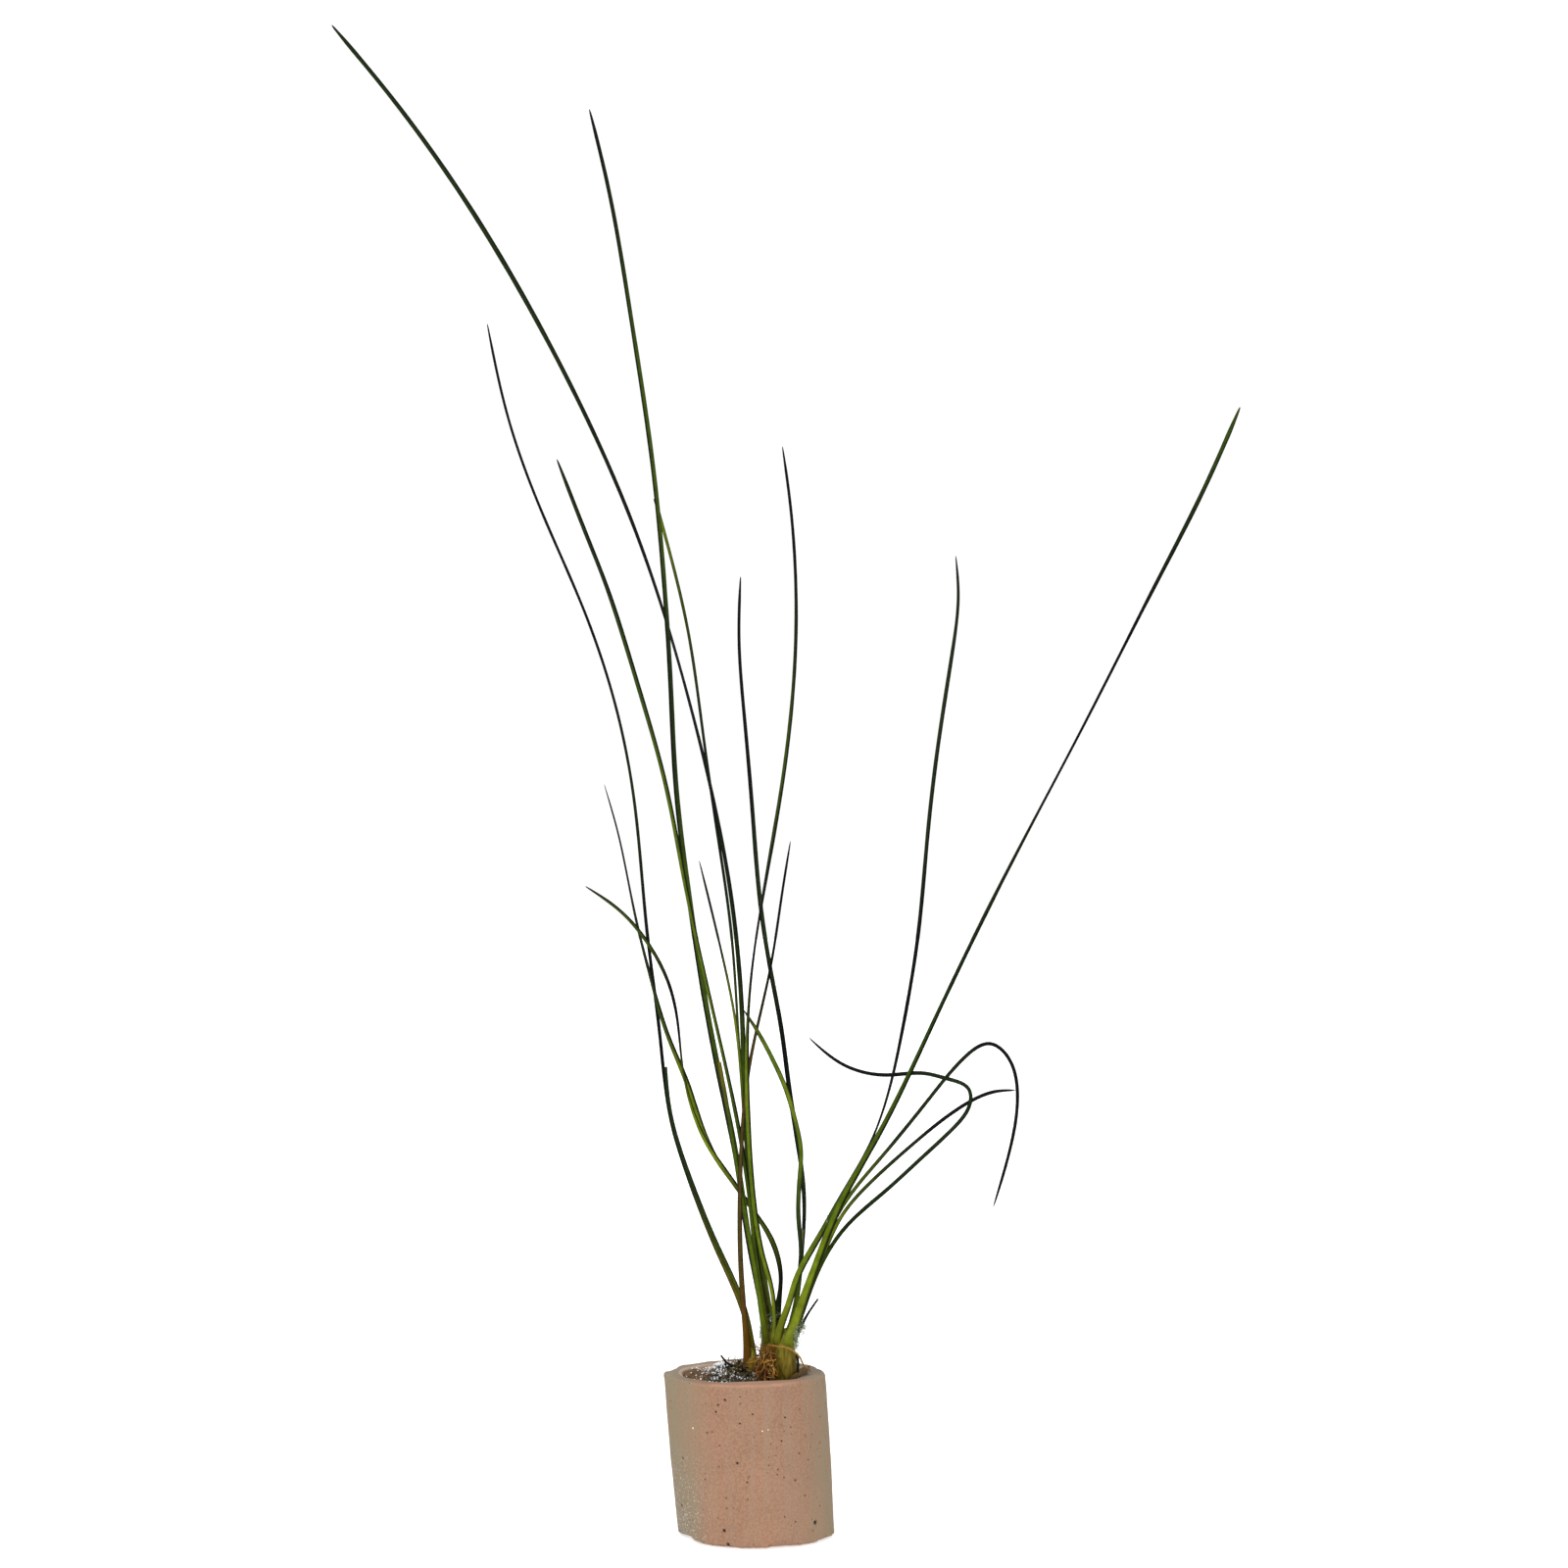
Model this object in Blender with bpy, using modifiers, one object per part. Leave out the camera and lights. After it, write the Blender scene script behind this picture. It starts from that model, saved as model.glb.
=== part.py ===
"""Potted pipewort: long strap leaves on three crowns, in a leaning clay pot plugged with stone wool.

Metres, +Z up. The origin is the centre of the pot's foot, on the surface it stands on. +X is to the right of
the pot's front and +Y is towards its back. The sizes below are in millimetres.
"""
import math

import bmesh
import bpy
import numpy as np

MM = 0.001
GAP = 0.3                  # left between pieces that touch in the real plant

POT_HEIGHT = 34.2
FOOT_RADIUS = 16.6
RIM_RADIUS = 17.15
WALL = 3.4
FLOOR = 3.5
LEAN = -2.5                # how far the rim's centre stands to the left of the foot's centre
POT_STEPS = 44             # facets round the pot

WOOL_TOP = 32.5            # level of the stone wool where it is flat
WOOL_MOUND = 1.5           # how much higher it is pushed up behind and left of the middle
WOOL_LUMPS = 0.25

EYE_DISTANCE = 758.0       # from where the leaves were sighted, in front of the pot
EYE_SIDE = 5.84
EYE_HEIGHT = 159.4

LEAF_THICKNESS = 0.42
LEAF_SPACING = 7.6         # between the leaf's cross-sections
TIP_WIDTH = 0.22

# Crowns: the short stems that the leaves grow from. Each has its place on the wool and its outline, as
# (radius, height) from its buried foot to its top, and how much wider it is across than it is deep.
CROWNS = {
    "crown_left": dict(place=(-1.2, 4.0), stretch=1.25, outline=(
        (0.5, 29.6), (1.0, 30.4), (1.35, 32.4), (1.4, 34.4), (1.45, 36.3))),
    "crown_middle": dict(place=(2.7, 0.9), stretch=1.0, outline=(
        (0.7, 29.4), (1.5, 30.4), (2.05, 32.8), (2.1, 35.6), (1.9, 38.4), (2.1, 41.0))),
    "crown_right": dict(place=(6.1, -4.0), stretch=1.0, outline=(
        (0.8, 29.2), (1.6, 30.2), (2.05, 32.6), (2.2, 35.2), (2.15, 38.0), (2.5, 41.0))),
}

# Leaves: the points that each one passes, sighted from the front as (right of the foot's centre, up, behind
# it). Widths and turns are at equal steps from base to tip; a turn of 0 faces the front and 90 is edge-on.
LEAVES = {
    "leaf_long_left": dict(widths=(0.8, 1.1, 0.9, 0.85, 0.85), turns=(15, 20, 58, 15, 10), points=(
        (2.4, 41.6, 2.2), (1.0, 57.2, 3.4), (-2.2, 84.3, 5.5), (-3.1, 109.3, 8.0), (-5.9, 138.5, 11.0),
        (-13.8, 175.0, 16.0), (-27.1, 216.7, 21.0), (-47.0, 258.4, 26.0), (-62.6, 284.5, 29.5),
        (-77.6, 305.4, 33.0), (-90.5, 321.0, 36.0))),
    "leaf_tall_left": dict(widths=(0.8, 1.2, 1.0, 0.85, 0.6), turns=(10, 10, 10, 10, 20), points=(
        (1.5, 41.4, 0.7), (-1.3, 59.7, 0.8), (-4.1, 78.0, 0.5), (-7.7, 96.8, -0.6), (-11.6, 117.6, -3.0),
        (-14.9, 138.5, -5.5), (-17.3, 159.4, -8.0), (-18.4, 180.2, -11.0), (-19.7, 201.1, -15.0),
        (-22.2, 227.2, -20.0), (-26.8, 258.4, -26.0), (-31.3, 284.5, -32.0), (-35.7, 303.1, -36.0))),
    "leaf_middle_left": dict(widths=(0.7, 0.85, 0.85, 0.7, 0.6), turns=(10, 20, 20, 20, 10), points=(
        (2.3, 41.3, -0.3), (0.2, 55.1, -0.4), (-1.7, 69.3, -1.0), (-4.0, 86.4, -2.5), (-7.3, 102.0, -4.5),
        (-11.1, 117.6, -7.0), (-15.4, 138.5, -9.5), (-19.5, 159.4, -12.5), (-25.3, 180.2, -18.0),
        (-31.9, 201.1, -24.0), (-36.1, 211.9, -27.0), (-42.6, 228.6, -34.0))),
    "leaf_short_left": dict(widths=(0.7, 0.8, 0.6), turns=(10, 10), points=(
        (1.9, 41.1, -1.3), (0.2, 51.9, -1.6), (-1.7, 63.0, -2.0), (-3.8, 74.9, -2.4), (-5.8, 87.4, -3.2),
        (-8.1, 100.3, -5.0))),
    "leaf_back_thin": dict(widths=(0.6, 0.6, 0.6, 0.65, 0.6), turns=(30, 60, 20, 30, 50), points=(
        (3.9, 41.5, 1.5), (1.7, 55.1, 2.1), (-0.4, 67.6, 2.5), (-2.3, 84.3, 3.4), (-4.0, 107.2, 5.0),
        (-5.5, 128.1, 7.0), (-8.4, 148.9, 9.0), (-11.4, 169.8, 12.0), (-14.4, 190.7, 17.0),
        (-17.9, 206.3, 22.0), (-21.7, 220.3, 27.0))),
    "leaf_front_tall": dict(widths=(0.7, 0.8, 0.75, 0.8, 0.7, 0.45), turns=(20, 30, 80, 15, 10, 10), points=(
        (3.5, 41.1, -1.1), (3.5, 50.9, -1.8), (1.5, 59.2, -2.6), (-0.8, 71.8, -3.6), (-1.9, 88.4, -5.4),
        (-2.1, 107.2, -8.0), (-0.8, 122.9, -11.0), (1.7, 138.5, -15.0), (5.3, 159.4, -22.0),
        (7.7, 180.2, -30.0), (8.3, 198.0, -37.0), (7.3, 216.7, -45.0), (5.4, 231.3, -52.0))),
    "leaf_needle": dict(widths=(0.6, 0.5, 0.45, 0.35), turns=(20, 20), points=(
        (3.1, 41.4, 0.5), (1.0, 55.1, 0.8), (-1.0, 68.6, 0.9), (-2.7, 86.4, 0.9), (-4.4, 107.2, 0.2),
        (-7.4, 122.9, -2.0), (-12.3, 143.1, -6.0))),
    "leaf_twisted": dict(widths=(0.6, 0.9, 0.9, 0.6, 0.4), turns=(10, 40, 75, 15, 40, 60, 60), points=(
        (2.9, 41.8, 3.1), (4.6, 49.9, 4.9), (5.0, 55.1, 6.4), (3.1, 62.0, 8.0), (-1.3, 69.3, 9.2),
        (-5.8, 75.7, 10.0), (-10.8, 83.6, 10.8), (-15.0, 96.0, 11.2), (-19.0, 106.2, 11.5),
        (-22.4, 117.6, 11.8), (-25.1, 128.1, 12.2), (-27.3, 138.5, 13.0), (-29.5, 148.9, 14.0),
        (-32.5, 159.4, 15.0))),
    "leaf_low_arch": dict(widths=(0.6, 0.7, 0.5, 0.45, 0.6, 0.5), turns=(10, 10), points=(
        (4.2, 41.7, 2.4), (4.9, 49.9, 3.8), (5.1, 55.5, 5.2), (3.4, 62.2, 6.6), (-0.7, 68.6, 7.6),
        (-5.3, 75.1, 8.2), (-10.2, 83.4, 8.7), (-14.1, 92.2, 8.8), (-16.0, 100.5, 8.2), (-16.9, 108.9, 7.0),
        (-19.0, 117.6, 5.5), (-24.2, 127.0, 3.5), (-29.6, 132.9, 1.5), (-36.5, 137.7, -1.0))),
    "leaf_thin_left": dict(widths=(0.9, 1.0, 0.7, 0.5, 0.45, 0.45), turns=(10, 10), points=(
        (-1.1, 37.4, 5.0), (-2.9, 46.7, 5.4), (-8.6, 60.3, 7.5), (-14.7, 75.9, 10.5), (-18.5, 88.9, 13.0),
        (-20.8, 107.2, 16.0), (-23.4, 128.1, 20.0), (-25.9, 154.1, 25.0), (-29.8, 175.0, 29.0),
        (-36.6, 195.9, 33.0), (-45.5, 216.7, 37.0), (-53.0, 237.6, 41.0), (-57.4, 257.4, 44.0))),
    "leaf_brown": dict(widths=(0.9, 1.0, 0.7, 0.5, 0.4), turns=(10, 10), points=(
        (-2.0, 37.1, 3.1), (-3.1, 50.9, 0.2), (-3.7, 67.6, -3.9), (-3.1, 86.4, -3.4), (-1.3, 101.4, -4.5),
        (2.7, 119.7, -7.5), (5.2, 135.4, -11.0), (7.1, 147.3, -14.0))),
    "leaf_left_stub": dict(widths=(0.7, 0.8, 0.7), turns=(20, 20), points=(
        (-0.4, 37.2, 4.0), (-2.2, 46.7, 3.9), (-8.3, 61.3, 6.0), (-14.2, 75.9, 8.7), (-18.2, 88.9, 11.4),
        (-19.4, 99.3, 14.0))),
    "leaf_right_inner": dict(
        widths=(0.7, 0.9, 0.8, 0.8, 0.7, 0.6, 0.4), turns=(0, 60, 0, 0, 0, 10, 10), points=(
        (6.4, 40.9, -2.7), (8.0, 47.1, -2.7), (9.2, 54.4, -2.4), (10.0, 64.5, -1.5), (10.0, 72.8, -0.5),
        (9.0, 81.1, 0.6), (7.1, 93.0, 2.6), (5.2, 107.2, 5.5), (3.3, 117.6, 8.0), (0.8, 133.3, 12.0),
        (-1.0, 154.1, 18.0), (-2.7, 174.0, 25.0), (-3.8, 189.6, 32.0), (-3.5, 203.6, 40.0))),
    "leaf_right_bud": dict(widths=(0.7, 0.8, 0.9), turns=(10, 10), points=(
        (5.4, 40.7, -3.8), (7.4, 47.8, -3.9), (9.0, 55.1, -3.9), (9.6, 64.7, -4.2))),
    "leaf_right_arch": dict(widths=(0.7, 0.7, 0.8, 0.8, 0.7, 0.55), turns=(0, 0), points=(
        (6.2, 40.5, -4.9), (7.4, 46.7, -5.1), (9.0, 54.4, -5.3), (9.3, 60.9, -5.7), (8.8, 67.6, -6.5),
        (9.1, 75.9, -8.0), (9.3, 81.8, -9.2), (8.1, 88.0, -10.5), (6.0, 94.9, -12.0), (3.5, 100.5, -14.0),
        (0.6, 106.0, -16.0), (-2.7, 111.2, -18.0))),
    "leaf_right_back": dict(
        widths=(0.9, 1.2, 0.9, 0.85, 0.85, 0.8, 0.5), turns=(0, 10, 80, 20, 20, 20, 20), points=(
        (4.4, 40.5, -5.0), (6.5, 48.2, -6.4), (8.6, 54.7, -7.4), (12.5, 62.6, -7.4), (17.9, 71.8, -6.2),
        (23.8, 82.6, -4.6), (27.7, 93.2, -3.0), (30.9, 107.2, 0.0), (34.2, 127.0, 5.0), (36.3, 148.9, 11.0),
        (38.8, 169.8, 18.0), (41.7, 188.6, 26.0), (42.8, 199.0, 30.0), (42.3, 208.0, 34.0))),
    "leaf_long_right": dict(widths=(1.0, 1.4, 1.0, 1.0, 1.1, 0.9), turns=(10, 50, 60, 90, 160, 180), points=(
        (6.7, 40.3, -6.1), (9.4, 48.8, -8.0), (13.0, 58.8, -9.4), (17.8, 70.5, -9.8), (26.3, 85.9, -10.4),
        (36.7, 107.2, -11.0), (51.9, 138.5, -13.0), (68.3, 169.8, -16.0), (84.3, 201.1, -20.0),
        (94.9, 221.9, -23.0), (102.8, 239.7, -26.0))),
    "leaf_curl": dict(widths=(0.7, 0.85, 0.8, 0.8, 0.6, 0.45), turns=(20, 20, 30, 60, 20, 40), points=(
        (7.9, 40.7, -3.9), (10.5, 49.2, -4.1), (14.2, 58.2, -4.1), (19.2, 65.5, -3.8), (27.3, 72.8, -3.2),
        (35.3, 80.1, -2.2), (41.7, 86.1, -1.2), (45.3, 91.2, -0.7), (45.0, 94.7, -1.0), (40.5, 96.8, -2.0),
        (35.0, 98.0, -3.8), (27.5, 97.6, -6.0), (18.8, 99.6, -9.0), (11.1, 105.5, -14.0))),
    "leaf_hook": dict(widths=(0.7, 0.7, 0.6, 0.6, 0.45, 0.4), turns=(20, 20), points=(
        (6.2, 41.0, -1.7), (11.1, 51.9, -1.4), (15.4, 64.2, -0.2), (20.2, 73.2, 1.2), (26.7, 80.3, 2.8),
        (36.9, 92.8, 6.0), (43.8, 100.9, 8.0), (49.4, 104.2, 10.0), (53.6, 101.0, 12.0), (55.4, 93.7, 14.0),
        (54.4, 84.3, 15.0), (50.3, 69.5, 15.0))),
    "leaf_right_low": dict(widths=(0.7, 0.6, 0.5, 0.4), turns=(20, 20), points=(
        (7.6, 40.9, -2.7), (10.4, 49.9, -2.7), (14.8, 60.9, -2.1), (17.9, 68.0, -1.4), (24.2, 74.7, -0.4),
        (32.7, 82.4, 1.2), (41.3, 89.3, 2.6), (47.8, 93.1, 3.6), (51.3, 94.1, 4.2), (54.9, 94.3, 4.8))),
    "leaf_dry_stub": dict(widths=(0.45, 0.35), turns=(0, 0), points=(
        (7.9, 40.5, -5.3), (10.2, 45.6, -6.4), (13.0, 49.9, -7.2))),
}

# Roots that show above the wool, as real places (right, behind, up), with their diameters.
ROOTS = {
    "root_loop": dict(diameter=0.6, points=(
        (2.4, -3.2, 40.6), (4.0, -6.4, 40.8), (6.4, -7.2, 40.6), (8.4, -7.0, 39.4), (9.4, -6.8, 37.8),
        (10.1, -6.4, 36.6), (10.9, -5.4, 35.9))),
    "root_front": dict(diameter=0.5, points=(
        (3.4, -2.8, 39.0), (2.9, -5.4, 38.0), (2.0, -6.2, 36.0), (1.6, -6.6, 33.9))),
    "root_middle": dict(diameter=0.45, points=(
        (1.7, -2.0, 38.2), (0.6, -3.2, 36.8), (-0.1, -3.9, 35.2), (0.2, -4.4, 34.0))),
    "root_back": dict(diameter=0.5, points=(
        (-2.3, 1.4, 34.6), (-4.6, 0.9, 35.4), (-6.4, 0.5, 36.2), (-7.8, 0.2, 38.0))),
    "root_side": dict(diameter=0.5, points=(
        (8.6, -4.7, 39.2), (8.95, -4.8, 37.4), (8.9, -4.9, 35.9))),
}


def make_material(name, hex_colour, roughness):
    """A plain finish in an sRGB colour."""
    channels = [int(hex_colour[i:i + 2], 16) / 255 for i in (1, 3, 5)]
    linear = [c / 12.92 if c <= 0.04045 else ((c + 0.055) / 1.055) ** 2.4 for c in channels]
    material = bpy.data.materials.new(name)
    material.use_nodes = True
    finish = material.node_tree.nodes["Principled BSDF"]
    finish.inputs["Base Color"].default_value = (*linear, 1.0)
    finish.inputs["Roughness"].default_value = roughness
    finish.inputs["Metallic"].default_value = 0.0
    return material


def smooth_route(points, spacing):
    """Points a spacing apart on the natural cubic spline through the given ones."""
    points = np.asarray(points, float)
    chords = np.linalg.norm(np.diff(points, axis=0), axis=1)
    knots = np.concatenate([[0.0], np.cumsum(chords ** 0.75)])
    count, gaps = len(points), np.diff(knots)
    matrix, right = np.zeros((count, count)), np.zeros((count, points.shape[1]))
    matrix[0, 0] = matrix[-1, -1] = 1.0
    for i in range(1, count - 1):
        matrix[i, i - 1:i + 2] = gaps[i - 1], 2 * (gaps[i - 1] + gaps[i]), gaps[i]
        right[i] = 6 * ((points[i + 1] - points[i]) / gaps[i] - (points[i] - points[i - 1]) / gaps[i - 1])
    bend = np.linalg.solve(matrix, right)
    at = np.linspace(0.0, knots[-1], max(round(chords.sum() / spacing), 3) + 1)
    i = np.clip(np.searchsorted(knots, at, side="right") - 1, 0, count - 2)
    width = gaps[i][:, None]
    before, after = (at - knots[i])[:, None], (knots[i + 1] - at)[:, None]
    return ((bend[i] * after ** 3 + bend[i + 1] * before ** 3) / (6 * width)
            + (points[i] / width - bend[i] * width / 6) * after
            + (points[i + 1] / width - bend[i + 1] * width / 6) * before)


def from_sighting(points):
    """Real places of points sighted from the eye: each is pushed along its line of sight to its depth."""
    side, up, depth = np.asarray(points, float).T
    reach = (EYE_DISTANCE + depth) / EYE_DISTANCE
    return np.stack([EYE_SIDE + (side - EYE_SIDE) * reach, depth,
                     EYE_HEIGHT + (up - EYE_HEIGHT) * reach], axis=1)


def add_object(name, data, material):
    """Puts a mesh or curve into the plant's collection with its finish."""
    piece = bpy.data.objects.new(name, data)
    data.materials.append(material)
    collection.objects.link(piece)
    return piece


def turned(outline, steps, name):
    """A mesh turned round the Z axis with the Screw modifier, from (radius, height) pairs in millimetres."""
    mesh = bpy.data.meshes.new(name)
    edges = [(i, i + 1) for i in range(len(outline) - 1)]
    mesh.from_pydata([(r * MM, 0.0, z * MM) for r, z in outline], edges, [])
    blank = bpy.data.objects.new(name, mesh)
    collection.objects.link(blank)
    screw = blank.modifiers.new("turn", "SCREW")
    screw.steps = screw.render_steps = steps
    screw.use_merge_vertices = True
    screw.merge_threshold = 0.00001
    blank_view = blank.evaluated_get(bpy.context.evaluated_depsgraph_get())
    result = bpy.data.meshes.new_from_object(blank_view)
    bpy.data.objects.remove(blank)
    result.name = name
    return result


def reshape(mesh, rule):
    """Moves every vertex of a mesh by a rule on its place in millimetres."""
    flat = np.empty(len(mesh.vertices) * 3)
    mesh.vertices.foreach_get("co", flat)
    moved = rule(flat.reshape(-1, 3) / MM) * MM
    mesh.vertices.foreach_set("co", moved.ravel())
    mesh.update()


def arc(centre, radius, start, end, steps):
    """Points of an arc, as (radius, height) pairs; its angles are in degrees from outwards, upwards."""
    angles = np.radians(np.linspace(start, end, steps + 1))
    return [(centre[0] + radius * math.cos(a), centre[1] + radius * math.sin(a)) for a in angles]


def hand_made(place):
    """The pot's lean and its slightly uneven roundness and rim, on places in millimetres."""
    x, y, z = place.T
    turn = np.arctan2(y, x)
    round_error = 1 + 0.006 * np.sin(2 * turn + 0.7) + 0.004 * np.sin(5 * turn + 2.0)
    height_error = 1 + 0.006 * np.sin(3 * turn + 1.0)
    return np.stack([x * round_error + LEAN * z / POT_HEIGHT, y * round_error, z * height_error], axis=1)


def make_pot():
    """The clay pot, thrown as a thick straight wall on a closed floor, with a soft rim."""
    inner_rim, inner_foot = RIM_RADIUS - WALL, FOOT_RADIUS - WALL
    rim_edge, foot_edge = 0.6, 0.6
    belly = 0.15              # how far the wall swells from a straight line
    outline = [(0.0, FLOOR), (inner_foot * 0.6, FLOOR), (inner_foot - 1.0, FLOOR)]
    outline += [(inner_foot, FLOOR + 1.0), ((inner_rim + inner_foot) / 2, POT_HEIGHT / 2)]
    outline += arc((inner_rim + rim_edge, POT_HEIGHT - rim_edge), rim_edge, 180, 90, 3)
    outline += arc((RIM_RADIUS - rim_edge, POT_HEIGHT - rim_edge), rim_edge, 90, 0, 3)
    for share in (0.75, 0.5, 0.2):
        straight = FOOT_RADIUS + (RIM_RADIUS - FOOT_RADIUS) * share
        outline += [(straight + belly * math.sin(math.pi * share), POT_HEIGHT * share)]
    outline += arc((FOOT_RADIUS - foot_edge, foot_edge), foot_edge, 0, -90, 3)
    outline += [(FOOT_RADIUS * 0.5, 0.0), (0.0, 0.0)]
    mesh = turned(outline, POT_STEPS, "pot")
    reshape(mesh, hand_made)
    mesh.shade_smooth()
    mesh.set_sharp_from_angle(angle=math.radians(40))
    add_object("pot", mesh, make_material("unglazed_clay", "#b58b72", 0.9))


def wool_surface(place):
    """Lifts the plug's flat top into the lumpy mound that the fibres make round the crowns."""
    x, y, z = place.T
    mound = WOOL_MOUND * np.exp(-((x + 4) ** 2 / 60 + (y - 3) ** 2 / 30))
    lumps = WOOL_LUMPS * (np.sin(1.9 * x + 1) * np.sin(1.7 * y) + 0.8 * np.sin(0.9 * x - 1.3 * y + 2))
    edge = np.hypot(x, y) / (RIM_RADIUS - WALL - GAP)
    top = (z > WOOL_TOP - 0.5) & (edge < 0.98)
    return hand_made(np.stack([x, y, z + np.where(top, mound + lumps, 0.0) * (1 - edge ** 6)], axis=1))


def make_wool():
    """The plug of stone wool that fills the pot, with a pocket round the buried foot of each crown."""
    bottom, top = FOOT_RADIUS - WALL - GAP, RIM_RADIUS - WALL - GAP
    outline = [(top * share, WOOL_TOP) for share in (0.0, 0.2, 0.4, 0.6, 0.8, 0.93)]
    outline += [(top, WOOL_TOP - 0.6), (bottom, FLOOR + 1.8), (bottom - 1.2, FLOOR + GAP), (0.0, FLOOR + GAP)]
    mesh = turned(outline, POT_STEPS, "stone_wool")
    reshape(mesh, wool_surface)
    wool = add_object("stone_wool", mesh, make_material("stone_wool", "#8c8c86", 0.95))
    for name in CROWNS:
        pocket = bpy.data.objects.new("pocket_" + name, crown_mesh("pocket_" + name, CROWNS[name], GAP))
        pocket.hide_render = True
        pocket.display_type = "WIRE"
        pockets.objects.link(pocket)
        cut = wool.modifiers.new("pocket", "BOOLEAN")
        cut.operation = "DIFFERENCE"
        cut.object = pocket


def crown_mesh(name, crown, clearance=0.0):
    """A crown turned from its outline, drawn out sideways, and ribbed where the leaf bases clasp it."""
    steps, ribs, rib_height = 24, 6, 0.12
    outline = [(0.0, crown["outline"][-1][1] + clearance)]
    outline += [(r + clearance, z) for r, z in reversed(crown["outline"])]
    outline[1] = (outline[1][0], outline[0][1])
    outline += [(0.0, crown["outline"][0][1] - clearance)]
    mesh = turned(outline, steps, name)

    def clasp(place):
        x, y, z = place.T
        fold = 1 + rib_height / 2 * np.cos(ribs * np.arctan2(y, x))
        right, behind = crown["place"]
        return np.stack([x * fold * crown["stretch"] + right, y * fold + behind, z], axis=1)

    reshape(mesh, clasp)
    mesh.shade_smooth()
    return mesh


def make_crowns():
    """The three crowns: a small brown one at the left, one behind the roots, a green bulb at the right."""
    finish = make_material("crown_skin", "#7f7a34", 0.55)
    for name, crown in CROWNS.items():
        add_object(name, crown_mesh(name, crown), finish)


def leaf_mesh(name, leaf):
    """A strap leaf: a six-sided lens section carried along its route, turned and narrowed towards the tip."""
    route = smooth_route(from_sighting(leaf["points"]), LEAF_SPACING)
    share = np.linspace(0.0, 1.0, len(route))
    width = np.interp(share, np.linspace(0, 1, len(leaf["widths"])), leaf["widths"])
    width[-1] = TIP_WIDTH
    turn = np.radians(np.interp(share, np.linspace(0, 1, len(leaf["turns"])), leaf["turns"]))
    thickness = LEAF_THICKNESS * (1 - 0.25 * share)
    along = np.gradient(route, axis=0)
    along /= np.linalg.norm(along, axis=1, keepdims=True)
    sight = route - (EYE_SIDE, -EYE_DISTANCE, EYE_HEIGHT)
    across = np.cross(along, sight)
    across /= np.linalg.norm(across, axis=1, keepdims=True)
    face = np.cross(across, along)
    edge = across * np.cos(turn)[:, None] + face * np.sin(turn)[:, None]
    face = np.cross(edge, along)
    section = np.array([(0.5, 0.0), (0.24, 0.5), (-0.24, 0.5), (-0.5, 0.0), (-0.24, -0.5), (0.24, -0.5)])
    rings = (route[:, None] + edge[:, None] * (section[:, 0] * width[:, None])[..., None]
             + face[:, None] * (section[:, 1] * thickness[:, None])[..., None])
    form = bmesh.new()
    loops = [[form.verts.new(corner * MM) for corner in ring] for ring in rings]
    for lower, upper in zip(loops, loops[1:]):
        for i in range(len(section)):
            j = (i + 1) % len(section)
            form.faces.new((lower[i], lower[j], upper[j], upper[i]))
    form.faces.new(reversed(loops[0]))
    form.faces.new(loops[-1])
    bmesh.ops.recalc_face_normals(form, faces=form.faces)
    mesh = bpy.data.meshes.new(name)
    form.to_mesh(mesh)
    form.free()
    mesh.shade_smooth()
    return mesh


def make_leaves():
    """Every leaf in its own object; the old one at the left and the dry stub are brown."""
    green = make_material("leaf_green", "#4a5a1a", 0.45)
    brown = make_material("leaf_brown", "#5a4413", 0.6)
    for name, leaf in LEAVES.items():
        add_object(name, leaf_mesh(name, leaf), brown if name in ("leaf_brown", "leaf_dry_stub") else green)


def make_roots():
    """The wiry roots that come out of the crowns above the wool, as round tubes."""
    finish = make_material("root_skin", "#9a6a2c", 0.6)
    for name, root in ROOTS.items():
        curve = bpy.data.curves.new(name, "CURVE")
        curve.dimensions = "3D"
        curve.bevel_depth = root["diameter"] / 2 * MM
        curve.bevel_resolution = 2
        curve.use_fill_caps = True
        route = smooth_route(root["points"], root["diameter"] * 1.5)
        spline = curve.splines.new("POLY")
        spline.points.add(len(route) - 1)
        for point, place in zip(spline.points, route):
            point.co = (*(place * MM), 1.0)
        add_object(name, curve, finish)


def make_old_sheath():
    """The dead leaf base between the right crown and the pot's wall: a long, flattened, bowed bead."""
    centre, half_way = (9.15, -4.1, 34.7), (1.45, 2.9, 0.4)     # its middle, and from there to its far end
    bow = (0.5, -0.45)                                          # how far its middle bends out to the wall
    half_width, half_thickness = 0.5, 0.5
    form = bmesh.new()
    bmesh.ops.create_uvsphere(form, u_segments=12, v_segments=8, radius=MM)
    mesh = bpy.data.meshes.new("old_sheath")
    form.to_mesh(mesh)
    form.free()

    def flatten(place):
        x, y, z = place.T
        bowed = math.hypot(*bow)
        right, forward = bow[0] / bowed, bow[1] / bowed
        sideways = (1 - x ** 2) * bowed - y * half_width
        return np.stack([centre[0] + x * half_way[0] + sideways * right,
                         centre[1] + x * half_way[1] + sideways * forward,
                         centre[2] + x * half_way[2] + z * half_thickness], axis=1)

    reshape(mesh, flatten)
    mesh.shade_smooth()
    add_object("old_sheath", mesh, bpy.data.materials["leaf_brown"])


for old in list(bpy.data.objects):
    bpy.data.objects.remove(old)
collection = bpy.data.collections.new("potted_pipewort")
pockets = bpy.data.collections.new("pockets")
bpy.context.scene.collection.children.link(collection)
bpy.context.scene.collection.children.link(pockets)

make_pot()
make_wool()
make_crowns()
make_leaves()
make_roots()
make_old_sheath()
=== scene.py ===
"""The looks of the potted pipewort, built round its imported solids.

Metres, +Z up. The origin is the centre of the pot's foot, +X is to the right of the pot's front and +Y is
towards its back. Shapes are worked out in millimetres and turned to metres when they go into a mesh.
"""

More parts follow.
